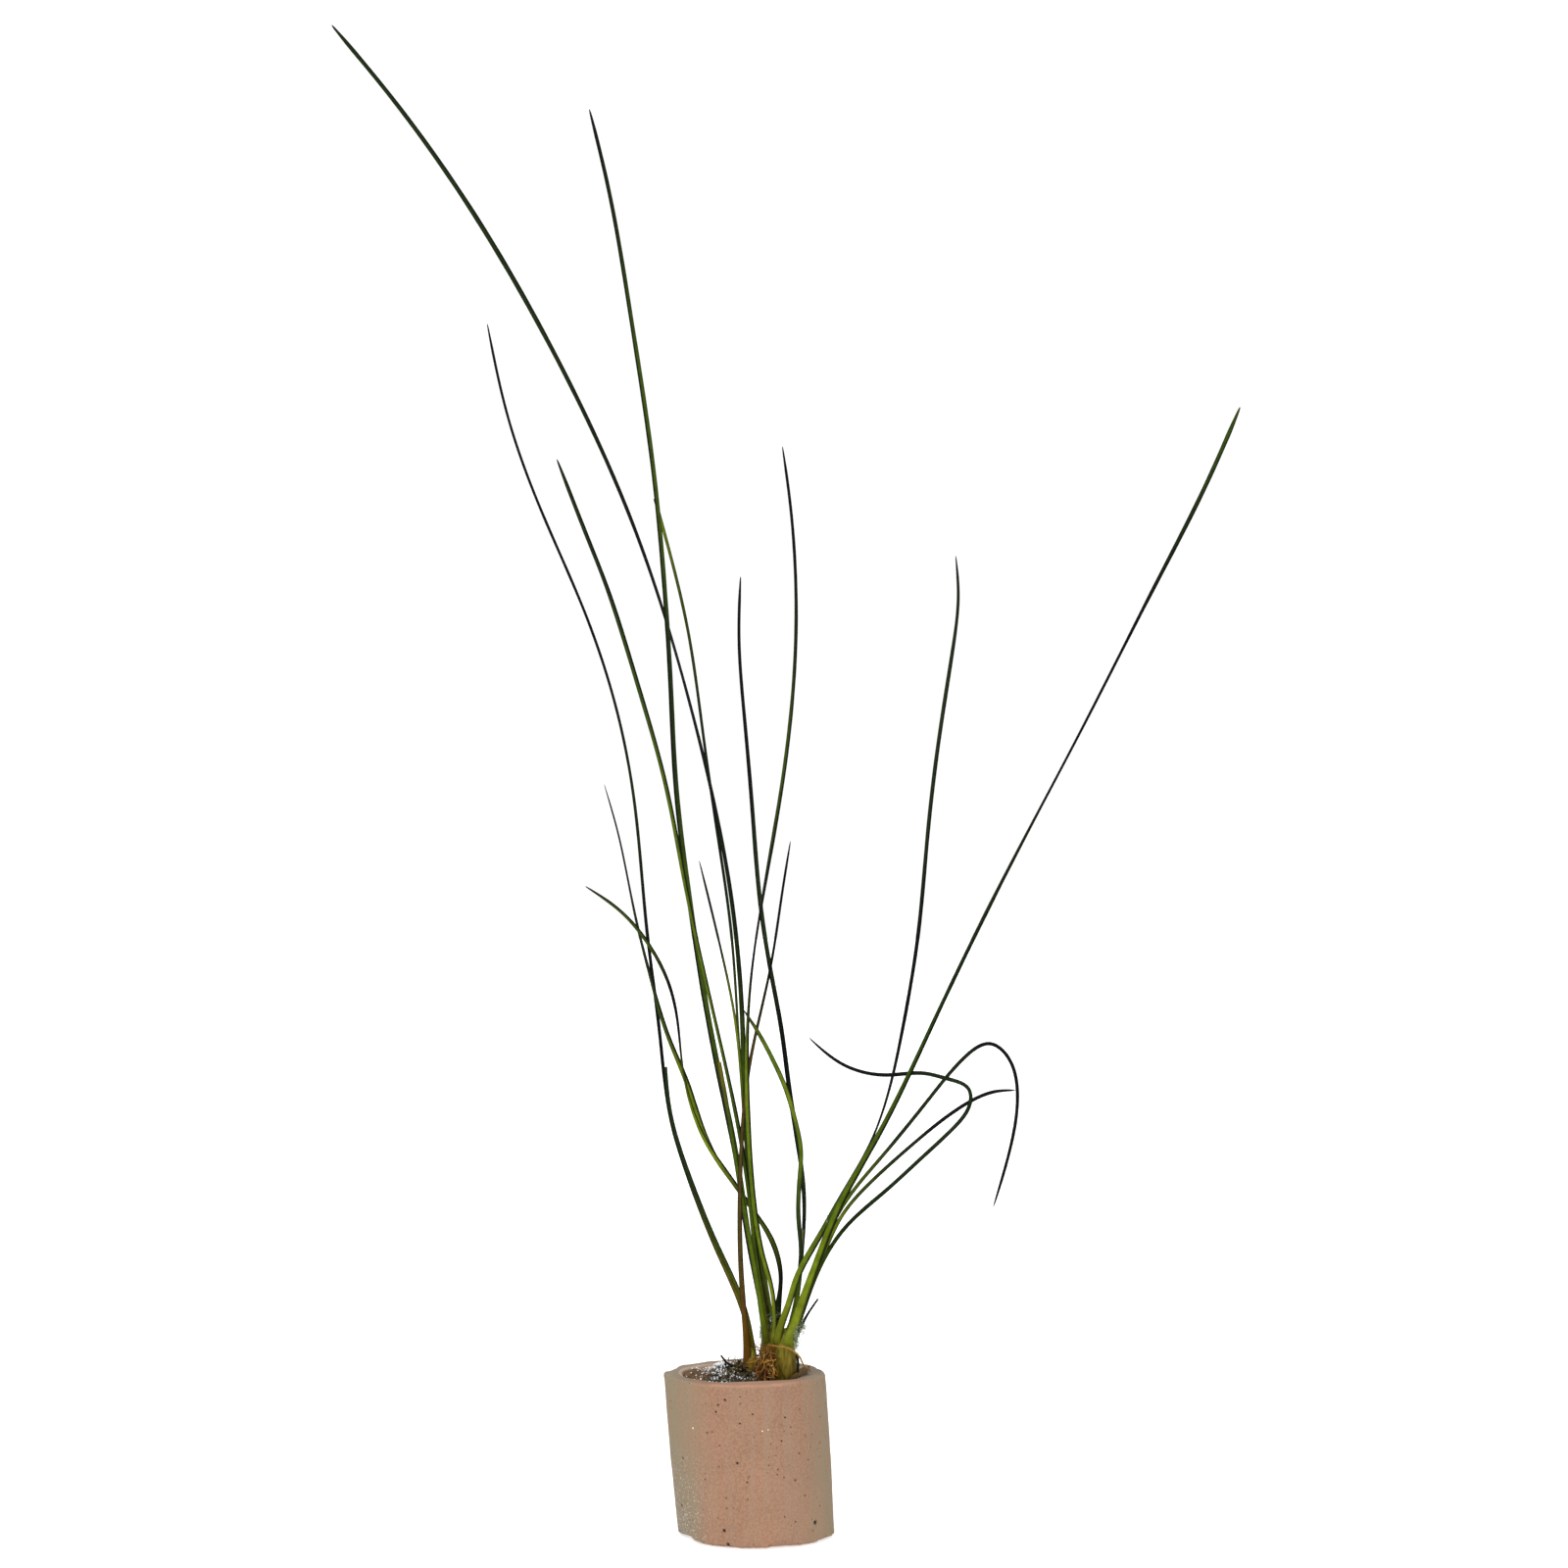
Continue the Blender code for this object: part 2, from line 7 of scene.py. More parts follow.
import bmesh
import bpy
import numpy as np
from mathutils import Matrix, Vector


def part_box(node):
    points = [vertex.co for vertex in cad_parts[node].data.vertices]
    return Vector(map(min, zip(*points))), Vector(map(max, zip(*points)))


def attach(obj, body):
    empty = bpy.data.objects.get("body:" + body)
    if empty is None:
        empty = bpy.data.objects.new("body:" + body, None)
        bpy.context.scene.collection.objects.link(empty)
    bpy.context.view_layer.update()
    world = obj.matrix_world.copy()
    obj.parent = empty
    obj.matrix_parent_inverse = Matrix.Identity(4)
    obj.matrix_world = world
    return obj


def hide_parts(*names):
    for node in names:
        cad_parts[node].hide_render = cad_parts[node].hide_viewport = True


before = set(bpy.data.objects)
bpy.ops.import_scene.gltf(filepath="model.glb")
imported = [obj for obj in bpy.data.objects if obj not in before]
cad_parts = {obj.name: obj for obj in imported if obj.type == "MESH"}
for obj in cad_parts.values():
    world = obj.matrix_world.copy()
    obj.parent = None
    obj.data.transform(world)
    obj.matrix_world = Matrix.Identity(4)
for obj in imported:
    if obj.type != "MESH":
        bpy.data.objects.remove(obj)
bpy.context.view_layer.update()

# The pot: a thick, straight tube of red clay on a closed floor, which leaned to the left before it was
# fired. It has no glaze. Its foot was cut with a wire, its rim is chipped, and its skin has pinholes and
# grey lime where water dried. The inside of its mouth and the rim's front are lightened by painted light.
MM = 0.001
pot_low, pot_high = (np.array(corner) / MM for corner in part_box("pot"))
pot_height, foot_radius = pot_high[2], pot_high[0]
rim_radius = (pot_high[1] - pot_low[1]) / 2
pot_lean = pot_low[0] + rim_radius       # how far the rim's centre stands to the right of the foot's
pot_wall, pot_floor = 3.4, 3.5
lip_round, foot_round, belly, foot_wear = 0.6, 0.6, 0.2, 0.15


def linear(colour):
    """An sRGB hex colour as linear red, green and blue."""
    channels = np.array([int(colour[i:i + 2], 16) / 255 for i in (1, 3, 5)])
    return np.where(channels <= 0.04045, channels / 12.92, ((channels + 0.055) / 1.055) ** 2.4)


def node(finish, kind, inputs=(), **settings):
    """Adds a node and returns its outputs.

    An input is a value, an sRGB hex colour or another node's output. Inputs are given by socket, or in order.
    """
    made = finish.node_tree.nodes.new("ShaderNode" + kind)
    for setting, value in settings.items():
        setattr(made, setting, value)
    for socket, value in (inputs.items() if isinstance(inputs, dict) else enumerate(inputs)):
        if isinstance(value, bpy.types.NodeSocket):
            finish.node_tree.links.new(value, made.inputs[socket])
        elif isinstance(value, str):
            made.inputs[socket].default_value = (*linear(value), 1.0)
        else:
            made.inputs[socket].default_value = value
    return made.outputs


def new_finish(name, **shader):
    """A material with one Principled shader; each argument is one of its sockets, with _ for a space."""
    finish = bpy.data.materials.new(name)
    finish.use_nodes = True
    sockets = finish.node_tree.nodes["Principled BSDF"].inputs
    for socket, value in shader.items():
        value = (*linear(value), 1.0) if isinstance(value, str) else value
        sockets[socket.replace("_", " ")].default_value = value
    return finish


def feed(finish, **outputs):
    """Links nodes' outputs to the sockets of the finish's Principled shader."""
    sockets = finish.node_tree.nodes["Principled BSDF"].inputs
    for socket, output in outputs.items():
        finish.node_tree.links.new(output, sockets[socket.replace("_", " ")])


def grain(finish, size, detail=3.0, squeeze=1.0):
    """Noise with grains of a size in mm, whose pattern is drawn out up the height by a squeeze below one."""
    place = node(finish, "TexCoord")["Object"]
    place = node(finish, "Mapping", {"Vector": place, "Scale": (1.0, 1.0, squeeze)})[0]
    return node(finish, "TexNoise", {"Vector": place, "Scale": 1 / (size * MM), "Detail": detail})[0]


def unevenness(place, size, seed):
    """Smooth swells from about -1 to 1: the sum of 16 sine waves in random directions, about a size long."""
    draw = np.random.default_rng(seed)
    waves = draw.normal(size=(16, 3))
    waves *= 2 * np.pi / size * draw.uniform(0.6, 1.5, (16, 1)) / np.linalg.norm(waves, axis=1, keepdims=True)
    return np.sin(place @ waves.T + draw.uniform(0, 2 * np.pi, 16)).sum(axis=-1) / 16 ** 0.5 / 1.4


def grid_faces(rows, columns):
    """The four-sided faces between neighbours in a grid of rows and columns, as rows of corner numbers."""
    first = (np.arange(rows - 1)[:, None] * columns + np.arange(columns - 1)).reshape(-1, 1)
    return first + [0, 1, columns + 1, columns]


def add_piece(name, corners, finish, nodes=(), faces=None, uv=None, tone=None):
    """Makes one closed piece on the plant's body: corners in mm, with a UV pair and a linear tone each.

    Without faces, the corners are a grid of rows and columns with a face between each four neighbours.
    """
    if faces is None:
        faces = grid_faces(*corners.shape[:2])
    corners = corners.reshape(-1, 3)
    mesh = bpy.data.meshes.new(name)
    sides = faces.shape[1]
    mesh.vertices.add(len(corners))
    mesh.vertices.foreach_set("co", (corners * MM).ravel())
    mesh.loops.add(faces.size)
    mesh.loops.foreach_set("vertex_index", faces.ravel().astype(np.int32))
    mesh.polygons.add(len(faces))
    mesh.polygons.foreach_set("loop_start", np.arange(0, faces.size, sides, dtype=np.int32))
    mesh.update(calc_edges=True)
    if uv is not None:
        mesh.uv_layers.new(name="skin").data.foreach_set("uv", uv.reshape(-1, 2)[faces.ravel()].ravel())
    if tone is not None:
        rgba = np.concatenate([tone.reshape(-1, 3), np.ones((len(corners), 1))], axis=1)
        mesh.attributes.new("tone", "FLOAT_COLOR", "POINT").data.foreach_set("color", rgba.ravel())
    form = bmesh.new()
    form.from_mesh(mesh)
    bmesh.ops.remove_doubles(form, verts=form.verts, dist=0.002 * MM)
    bmesh.ops.recalc_face_normals(form, faces=form.faces)
    form.to_mesh(mesh)
    form.free()
    mesh.shade_smooth()
    mesh.materials.append(finish)
    piece = bpy.data.objects.new(name, mesh)
    bpy.context.scene.collection.objects.link(piece)
    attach(piece, "root")
    if nodes:
        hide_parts(*nodes)


def rounding(centre, radius, start, end, steps):
    """An arc of the outline, as (radius, height) pairs; its angles are in degrees from outwards, upwards."""
    angle = np.radians(np.linspace(start, end, steps))
    return np.stack([centre[0] + radius * np.cos(angle), centre[1] + radius * np.sin(angle)], axis=1)


def straight(start, end, steps):
    """A straight stretch of the outline, without its last point."""
    return np.linspace(start, end, steps, endpoint=False)


inner_foot, inner_rim = foot_radius - pot_wall, rim_radius - pot_wall
lip_thicker, hole_depth = 0.45, 0.35
mouth = inner_rim - lip_thicker          # the lip is a little thicker than the wall
pot_outline = np.concatenate([
    straight((0, pot_floor), (inner_foot - 1, pot_floor), 10),
    straight((inner_foot - 0.3, pot_floor + 0.3), (mouth, pot_height - lip_round), 40),
    rounding((mouth + lip_round, pot_height - lip_round), lip_round, 180, 90, 8),
    straight((mouth + lip_round + 0.3, pot_height), (rim_radius - lip_round - 0.3, pot_height), 6),
    rounding((rim_radius - lip_round, pot_height - lip_round), lip_round, 90, 0, 9),
    straight((rim_radius, pot_height - lip_round - 0.25), (foot_radius - foot_wear, foot_round), 90),
    rounding((foot_radius - foot_wear - foot_round, foot_round), foot_round, 0, -90, 6),
    straight((foot_radius - foot_round - 0.8, 0), (0, 0), 10), [(0, 0)]])
outer_wall = (pot_outline[:, 0] > inner_rim + 1) & (pot_outline[:, 1] > foot_round)
pot_outline[:, 0] += outer_wall * belly * np.sin(np.pi * pot_outline[:, 1] / pot_height)

# Pinholes that stand out, as (degrees to the right of the front, height, radius), and then, as (degrees,
# half width in degrees, size), chips of the rim, waves of the lip's inner edge and cuts of the foot.
PINHOLES = [(-64, 7.5, 0.28), (-23, 3.8, 0.3), (50, 4.5, 0.42), (-9, 18.2, 0.22), (-56, 17.8, 0.2),
            (24, 22.4, 0.17), (28, 27.2, 0.18), (-14.5, 31.4, 0.2), (-22, 28.8, 0.18), (-20, 30.3, 0.18),
            (-3, 14.2, 0.15), (41, 10.5, 0.15), (33, 14.0, 0.16), (4.3, 28.4, 0.16), (-30, 24.2, 0.15),
            (-5, 26.5, 0.16), (38, 19.4, 0.15), (46, 17.8, 0.14), (31, 5.4, 0.14), (-21, 0.6, 0.3)]
CHIPS = [(-107, 13, 0.8), (-70, 5, 0.25), (63, 6, 0.25), (135, 8, 0.1), (17, 4, 0.15), (-9, 13, -0.25)]
LIP_WAVES = [(-72, 20, -0.45), (0, 22, 0.3), (50, 17, -0.3), (95, 20, 0.25)]
FOOT_CUTS = [(-66, 11, 1.9), (20, 9, 0.75), (62, 9, 0.25), (150, 20, 0.5), (-130, 14, 0.4)]


def apart(degrees, at):
    """How far the angles are past another one, the short way round, in degrees."""
    return (degrees - at + 180) % 360 - 180


def bells(degrees, bumps, power=2, stray=0):
    """A sum of bell curves of the turn; the bumps are (degrees, half width in degrees, size)."""
    return sum(size * np.exp(-((apart(degrees, at) + stray) / reach) ** power) for at, reach, size in bumps)


def pot_surface(turn, outline):
    """The outline carried round the axis: x is radius times sine of the turn, y is minus radius times cosine.

    The wall stands about one per cent further out at the left than at its middle, with smaller swells. Bell
    curves of the turn lower the rim's outer edge at chips, lift the foot's outer edge at cuts and wave the
    lip's inner edge. A pinhole pushes the wall in by a bell curve of the distance to it. Last, the whole
    leans in proportion to the height. The marks are how much painted shade darkens a pinhole, how much
    painted light lightens the lip's inner edge and the inner wall, and how dusty the rim's flat top is at
    each point, from 0 to 1.
    """
    radius, height = (values[:, None] + 0 * turn for values in outline.T)
    x, y = radius * np.sin(turn), -radius * np.cos(turn)
    place = np.stack([x, y, height], axis=-1)
    swell = 1 - 0.009 * np.sin(turn) + 0.003 * np.sin(2 * turn - 1.2) + 0.002 * np.sin(5 * turn + 1.0)
    hand = 0.05 * unevenness(place, 11, 1) + 0.022 * unevenness(place, 3.2, 2)
    drag = 0.012 * unevenness(place * (1, 1, 0.06), 1.3, 3)      # the mould's upright drag marks
    skin = (radius > inner_rim + 0.8) * np.clip(radius / 4, 0, 1)
    on_rim = np.clip((height - pot_height + 2.2) / 2.2, 0, 1)
    on_rim *= np.clip((radius - inner_rim - 1.2) / 2.2, 0, 1)
    on_foot = np.clip(1 - height / 2.5, 0, 1) * np.clip((radius - foot_radius + 2.4) / 2.4, 0, 1)
    degrees = np.degrees((turn + np.pi) % (2 * np.pi) - np.pi)
    drop, lift = bells(degrees, CHIPS, 4, 2.5 * unevenness(place, 1.6, 4)), bells(degrees, FOOT_CUTS)
    holes = 0 * x
    for at, level, size in PINHOLES:
        sideways = apart(degrees, at) * np.pi / 180 * rim_radius
        off = (sideways ** 2 + (height - level) ** 2) / size ** 2
        holes += np.exp(-off ** 1.5) * (radius > inner_rim + 1)
    edge_wear = 0.16 * unevenness(place, 2.1, 5) * (on_rim + on_foot)
    scale = swell + (hand + drag + edge_wear) * skin / rim_radius - hole_depth * holes / rim_radius
    z = height * (1 + 0.006 * np.sin(3 * turn - 0.6)) + on_rim * (0.12 * unevenness(place, 4, 6) - drop)
    z = np.maximum(z + on_foot * (lift + 0.4 + 0.14 * unevenness(place, 2.6, 7)), 0)
    lip = np.clip((inner_rim + 1.4 - radius) / 1.4, 0, 1) * np.clip((height - pot_height + 2) / 2, 0, 1)
    z += lip * bells(degrees, LIP_WAVES)
    inside = np.clip((inner_rim + 0.45 - radius) / 0.3, 0, 1) * (0.8 + 0.3 * unevenness(place, 2, 9))
    on_top = np.clip((height - pot_height + 0.45) / 0.3, 0, 1) * (0.8 + 0.3 * unevenness(place, 1.2, 8))
    on_top *= 1 - 0.95 * np.clip(1.6 * np.cos(turn) - 0.4, 0, 1)     # the front is rubbed clean
    marks = np.clip(np.stack([holes * 1.6, inside, on_top], axis=-1), 0, 1)
    return np.stack([x * scale + pot_lean * height / pot_height, y * scale, z], axis=-1), marks


# The grid is even round the pot and up its wall, with five more lines each way through every pinhole.
spread = np.array([-1.3, -0.65, 0.0, 0.65, 1.3])
at_holes = [np.radians(at) % (2 * np.pi) + spread * size / rim_radius for at, level, size in PINHOLES]
pot_turns = np.unique(np.concatenate([np.linspace(0, 2 * np.pi, 241), *at_holes]))
hole_levels = np.concatenate([level + spread * size for at, level, size in PINHOLES])
wall = np.flatnonzero(outer_wall & (pot_outline[:, 1] < pot_height - lip_round))
levels = np.sort(np.concatenate([pot_outline[wall, 1], hole_levels]))[::-1]
reaches = np.interp(levels, pot_outline[wall[::-1], 1], pot_outline[wall[::-1], 0])
new_wall = np.stack([reaches, levels], axis=1)
pot_outline = np.concatenate([pot_outline[:wall[0]], new_wall, pot_outline[wall[-1] + 1:]])
pot_grid, pot_marks = pot_surface(pot_turns, pot_outline)

# Earthenware: baked red clay, dull all over, with fine grit, darker specks, and grey lime that has come
# out where water dried, low on the left. Painted shade greys its left and right sides and darkens its
# pinholes, and painted light lightens the inside of its mouth and the front of the rim.
clay = new_finish("unglazed earthenware", IOR=1.5, Roughness=0.92, Specular_IOR_Level=0.3)
place = node(clay, "TexCoord")["Object"]
cloud, grit = grain(clay, 9), grain(clay, 0.45, 4.0)
streak, band = grain(clay, 1.6, 3.0, 0.12), grain(clay, 2.4, 2.0, 0.05)
right, behind, up = node(clay, "SeparateXYZ", (place,))
off_axis = node(clay, "Math", (right, 0.4 * MM), operation="ADD")[0]
off_axis = node(clay, "Math", (off_axis,), operation="ABSOLUTE")[0]
to_side = node(clay, "MapRange", (off_axis, 8.5 * MM, 16.5 * MM, 0.0, 1.0),
               interpolation_type="SMOOTHSTEP")[0]
specks = node(clay, "TexVoronoi", {"Vector": place, "Scale": 1 / (1.5 * MM), "Randomness": 1.0})
pick = node(clay, "SeparateColor", (specks["Color"],))[0]
marks = node(clay, "Attribute", attribute_name="tone")["Color"]
pinhole_painted_shade, inside_painted_light, dusty_top = node(clay, "SeparateColor", (marks,))

# Each amount is a source, the span of it that counts, and what it comes to at the span's two ends.
amounts = []
for span in ((grit, 0.4, 0.62, 0.0, 0.5), (band, 0.45, 0.68, 0.0, 0.35), (streak, 0.3, 0.7, 0.35, 1.0),
             (right, -9 * MM, -16 * MM, 0.0, 0.9), (up, 22 * MM, 3 * MM, 0.0, 1.0),
             (grit, 0.56, 0.66, 0.0, 0.85), (specks["Distance"], 0.09, 0.19, 1.0, 0.0),
             (pick, 0.3, 0.8, 0.0, 0.9), (behind, -12 * MM, -15.5 * MM, 0.0, 0.9),
             (up, 33.7 * MM, 34.2 * MM, 0.0, 1.0)):
    amounts.append(node(clay, "MapRange", span)[0])
grainy, banded, patchy, left_low, low_down, spotted, near_speck, dark_one, at_front, at_rim = amounts
products = []
for pair in ((to_side, patchy), (left_low, low_down), (near_speck, dark_one), (at_front, at_rim)):
    products.append(node(clay, "Math", pair, operation="MULTIPLY")[0])
sides_painted_shade, lime_here, dark_speck, front_rim = products
lime = node(clay, "Math", (lime_here, spotted), operation="MULTIPLY")[0]
rim_front_painted_light = node(clay, "Math", (front_rim, inside_painted_light), operation="SUBTRACT", use_clamp=True)[0]

# The layers over the bare clay, from the bottom up: how much of each lies there, and its colour.
skin = node(clay, "Mix", {0: cloud, 6: "#805f4c", 7: "#967058"}, data_type="RGBA")[2]
# Painted shade: the grey at the sides and the near black in the pinholes. Painted light: the pale tone inside
# the mouth and the lighter tone along the rim's front.
for cover, colour in ((grainy, "#a4826a"), (banded, "#8e7a66"), (sides_painted_shade, "#837961"), (dusty_top, "#958875"),
                      (inside_painted_light, "#bfa792"), (lime_here, "#7f7462"), (lime, "#ccc6b9"), (dark_speck, "#5c3a2a"),
                      (pinhole_painted_shade, "#120b08"), (rim_front_painted_light, "#ab836a")):
    skin = node(clay, "Mix", {0: cover, 6: skin, 7: colour}, data_type="RGBA")[2]
relief = node(clay, "Mix", {0: 0.5, 2: grit, 3: streak})[0]
bump = node(clay, "Bump", {"Height": relief, "Strength": 0.35, "Distance": 0.12 * MM})[0]
feed(clay, Base_Color=skin, Normal=bump)

add_piece("clay_pot", pot_grid, clay, ["pot"], tone=pot_marks)

# Grains of white sand that were fired into the wall, as (degrees, height, radius).
SAND = [(-42, 24.7, 0.2), (10.3, 24.8, 0.15), (14.5, 25.0, 0.13), (110, 12, 0.15), (160, 20, 0.2)]


def leaning(radius, turn, height):
    """Points round the pot's axis, which leans; a turn of 0 is the front."""
    side = radius * np.sin(turn) + pot_lean * height / pot_height
    return np.stack(np.broadcast_arrays(side, -radius * np.cos(turn), height), axis=-1)


def balls(middles, sizes):
    """Balls of six rings of eight corners, as corners and faces, from their middles and radii."""
    turn, tilt = np.meshgrid(np.linspace(0, 2 * np.pi, 8), np.linspace(0, np.pi, 6))
    ball = np.stack([np.cos(turn) * np.sin(tilt), np.sin(turn) * np.sin(tilt), np.cos(tilt)], axis=-1)
    faces = (np.arange(len(middles))[:, None, None] * turn.size + grid_faces(*turn.shape)).reshape(-1, 4)
    return middles[:, None, None] + ball * sizes[:, None, None, None], faces


sand_turn, sand_level, sand_size = np.array(SAND).T
sand_reach = np.interp(sand_level, levels[::-1], reaches[::-1])
corners, faces = balls(leaning(sand_reach, np.radians(sand_turn), sand_level), sand_size)
quartz = new_finish("fired sand grain", Base_Color="#f7ead6", Roughness=0.4, IOR=1.54)
add_piece("sand_grains", corners, quartz, faces=faces)

# The stone wool: spun mineral fibre, grey, pulled apart into a plug and pushed round the roots. Its matted
# top is one lumpy skin with loose fibres lying over it, and drops of glassy slag glitter in it, most of them
# at the left. Brown peat lies along the left wall.
WOOL_LEVEL, WOOL_MOUND, WOOL_WAD, PEAT_RISE = 32.5, 1.5, 1.8, 2.0
PEAT_EDGE, PEAT_SLANT = -10.2, 0.25      # where the peat ends, and how far that shifts right per mm back
wool_radius = inner_rim - 0.1


def wool_height(x, y):
    """Level of the matted top: bell curves for a mound, a wad behind it and peat at the left, with lumps."""
    place = np.stack([x, y, 0 * x], axis=-1)
    mound = WOOL_MOUND * np.exp(-((x + 4) ** 2 / 60 + (y - 3) ** 2 / 30))
    mound += WOOL_WAD * np.exp(-((x + 7.2) ** 2 / 9 + (y - 6.8) ** 2 / 12))
    to_wall = np.clip(np.hypot(x - pot_lean, y) / wool_radius, 0, 1)
    lumps = 0.35 * unevenness(place, 3.5, 11) + 0.16 * unevenness(place, 1.1, 12)
    peat = PEAT_RISE * np.exp(-((x + 14.3) ** 2 / 9 + (y - 2) ** 2 / 60))
    return WOOL_LEVEL + (mound + lumps) * (1 - to_wall ** 6) + peat - 0.7 * to_wall ** 8


wool_turns = np.linspace(0, 2 * np.pi, 161)
wool_shares = np.linspace(0, 1, 64)[:, None]
lean_there = pot_lean * WOOL_LEVEL / pot_height
wool_top = leaning(wool_radius * wool_shares, wool_turns, WOOL_LEVEL)
wool_top[..., 2] = wool_height(wool_top[..., 0], wool_top[..., 1])
wool_side = [leaning(reach, wool_turns, level) for reach, level in (
    (inner_rim - 0.3, 20.0), (inner_foot - 0.3, pot_floor + 2), (0.0, pot_floor + 0.3))]
wool_grid = np.concatenate([wool_top, wool_side])

# Matted mineral fibre: dull grey with painted shade in its hollows, where its bump is low, brown in places
# and covered in peat at the left.
felt = new_finish("matted stone wool", Roughness=0.95, IOR=1.5)
place = node(felt, "TexCoord")["Object"]
hollow_depth_and_shade = node(felt, "MapRange", (grain(felt, 0.7, 5.0), 0.35, 0.62))[0]
grey = node(felt, "Mix", {0: hollow_depth_and_shade, 6: "#1f1b12", 7: "#615b4b"}, data_type="RGBA")[2]
stain = node(felt, "MapRange", (grain(felt, 5, 2.0), 0.42, 0.62, 0.0, 0.75))[0]
grey = node(felt, "Mix", {0: stain, 6: grey, 7: "#4e3d20"}, data_type="RGBA")[2]
right, behind = node(felt, "SeparateXYZ", (place,))[:2]
aslant = node(felt, "Math", (behind, -PEAT_SLANT, right), operation="MULTIPLY_ADD")[0]
peat_brown = node(felt, "Mix", {0: hollow_depth_and_shade, 6: "#452f17", 7: "#7d5b38"}, data_type="RGBA")[2]
peaty = node(felt, "MapRange", (aslant, (PEAT_EDGE + 0.6) * MM, (PEAT_EDGE - 0.6) * MM, 0.0, 0.95))[0]
grey = node(felt, "Mix", {0: peaty, 6: grey, 7: peat_brown}, data_type="RGBA")[2]
bump = node(felt, "Bump", {"Height": hollow_depth_and_shade, "Strength": 0.8, "Distance": 0.3 * MM})[0]
feed(felt, Base_Color=grey, Normal=bump)
add_piece("wool_plug", wool_grid, felt, ["stone_wool"])


def unit(vectors):
    """The vectors at a length of one."""
    return vectors / np.linalg.norm(vectors, axis=-1, keepdims=True)


def tubes(paths, radii, sides):
    """Round strands along many paths at once: a ring of corners square to each path at each of its points.

    paths is (strands, points, 3) and radii is (strands, points); a radius of 0 closes an end. The ring's two
    axes are the cross products of the path's direction with one fixed vector a strand and with each other.
    """
    along = unit(np.gradient(paths, axis=1))
    fixed = np.eye(3)[np.abs(along.mean(axis=1)).argmin(axis=1)][:, None]
    across = unit(np.cross(along, fixed))
    over = np.cross(along, across)
    angle = np.linspace(0, 2 * np.pi, sides + 1)[:, None]
    rings = across[:, :, None] * np.cos(angle) + over[:, :, None] * np.sin(angle)
    count, points = radii.shape
    one = grid_faces(points, sides + 1)
    faces = (np.arange(count)[:, None, None] * points * (sides + 1) + one).reshape(-1, 4)
    return paths[:, :, None] + rings * radii[:, :, None, None], faces


def wandering(draw, starts, directions, lengths, points, bend):
    """Paths from the starts: each step turns the direction a little, by a random walk of the given bend."""
    turns = np.cumsum(draw.normal(scale=bend, size=(len(starts), points - 1, 3)), axis=1)
    steps = unit(directions[:, None] + turns) * (lengths / (points - 1))[:, None, None]
    return np.concatenate([starts[:, None], starts[:, None] + np.cumsum(steps, axis=1)], axis=1)


def over_wool(draw, count, middle, spread):
    """Random places on the wool's top, inside the pot, about a middle and as far apart as the spread."""
    x, y = (middle + draw.normal(size=(count * 3, 2)) * spread).T
    inside = np.hypot(x - lean_there, y) < wool_radius - 0.7
    x, y = x[inside][:count], y[inside][:count]
    return np.stack([x, y, wool_height(x, y)], axis=1)


def within_pot(paths):
    """Paths pushed in where they would meet the pot's wall, and up where they would sink into the wool."""
    side, back, up = np.moveaxis(paths, -1, 0)
    out = np.hypot(side - lean_there, back)
    pull = np.minimum(1, (wool_radius - 0.25) / np.maximum(out, 0.01))
    side, back = (side - lean_there) * pull + lean_there, back * pull
    return np.stack([side, back, np.maximum(up, wool_height(side, back) - 0.05)], axis=-1)


FIBRES, FIBRE_POINTS = 5200, 6
draw = np.random.default_rng(21)
starts = over_wool(draw, FIBRES, (-5.0, 0.0), (7.5, 8.0))
on_peat = starts[:, 0] - PEAT_SLANT * starts[:, 1] < PEAT_EDGE
starts = starts[~on_peat | (draw.random(len(starts)) < 0.06)]
heading = unit(draw.normal(size=(len(starts), 3)) * (1, 1, 0.28) + (0, 0, 0.12))     # most of them lie flat
fibre_paths = wandering(draw, starts, heading, draw.uniform(0.5, 2.0, len(starts)), FIBRE_POINTS, 0.35)
fibre_paths = within_pot(fibre_paths)
highest = wool_height(fibre_paths[..., 0], fibre_paths[..., 1]) + 1.3
fibre_paths[..., 2] = np.minimum(fibre_paths[..., 2], highest)
fibre_radii = draw.uniform(0.02, 0.04, (len(starts), 1)) * np.array([0.0, 1, 1, 1, 1, 0.0])
fibre_tones = np.array([linear(tone) for tone in ("#211e18", "#4a4740", "#736f66", "#b8b3a8",
                                                  "#1c150b", "#43351d", "#6b5938", "#a08c6a")])
picked = draw.choice(4, len(starts), p=[0.46, 0.32, 0.16, 0.06])
browner = np.clip((starts[:, 0] + 9) / 6, 0.1, 0.85)     # the share of stained fibres grows to the right
picked += 4 * (draw.random(len(starts)) < browner)
corners, faces = tubes(fibre_paths, fibre_radii, 3)

# Glassy fibre: grey to white threads, stained brown by the roots, that catch the light along their sides.
# They are about ten times as thick as real ones, which wouldn't show.
glassy = new_finish("spun mineral fibre", Roughness=0.5, IOR=1.5, Specular_IOR_Level=0.25)
feed(glassy, Base_Color=node(glassy, "Attribute", attribute_name="tone")["Color"])
add_piece("wool_fibres", corners, glassy, faces=faces,
          tone=np.repeat(fibre_tones[picked], FIBRE_POINTS * 4, axis=0))

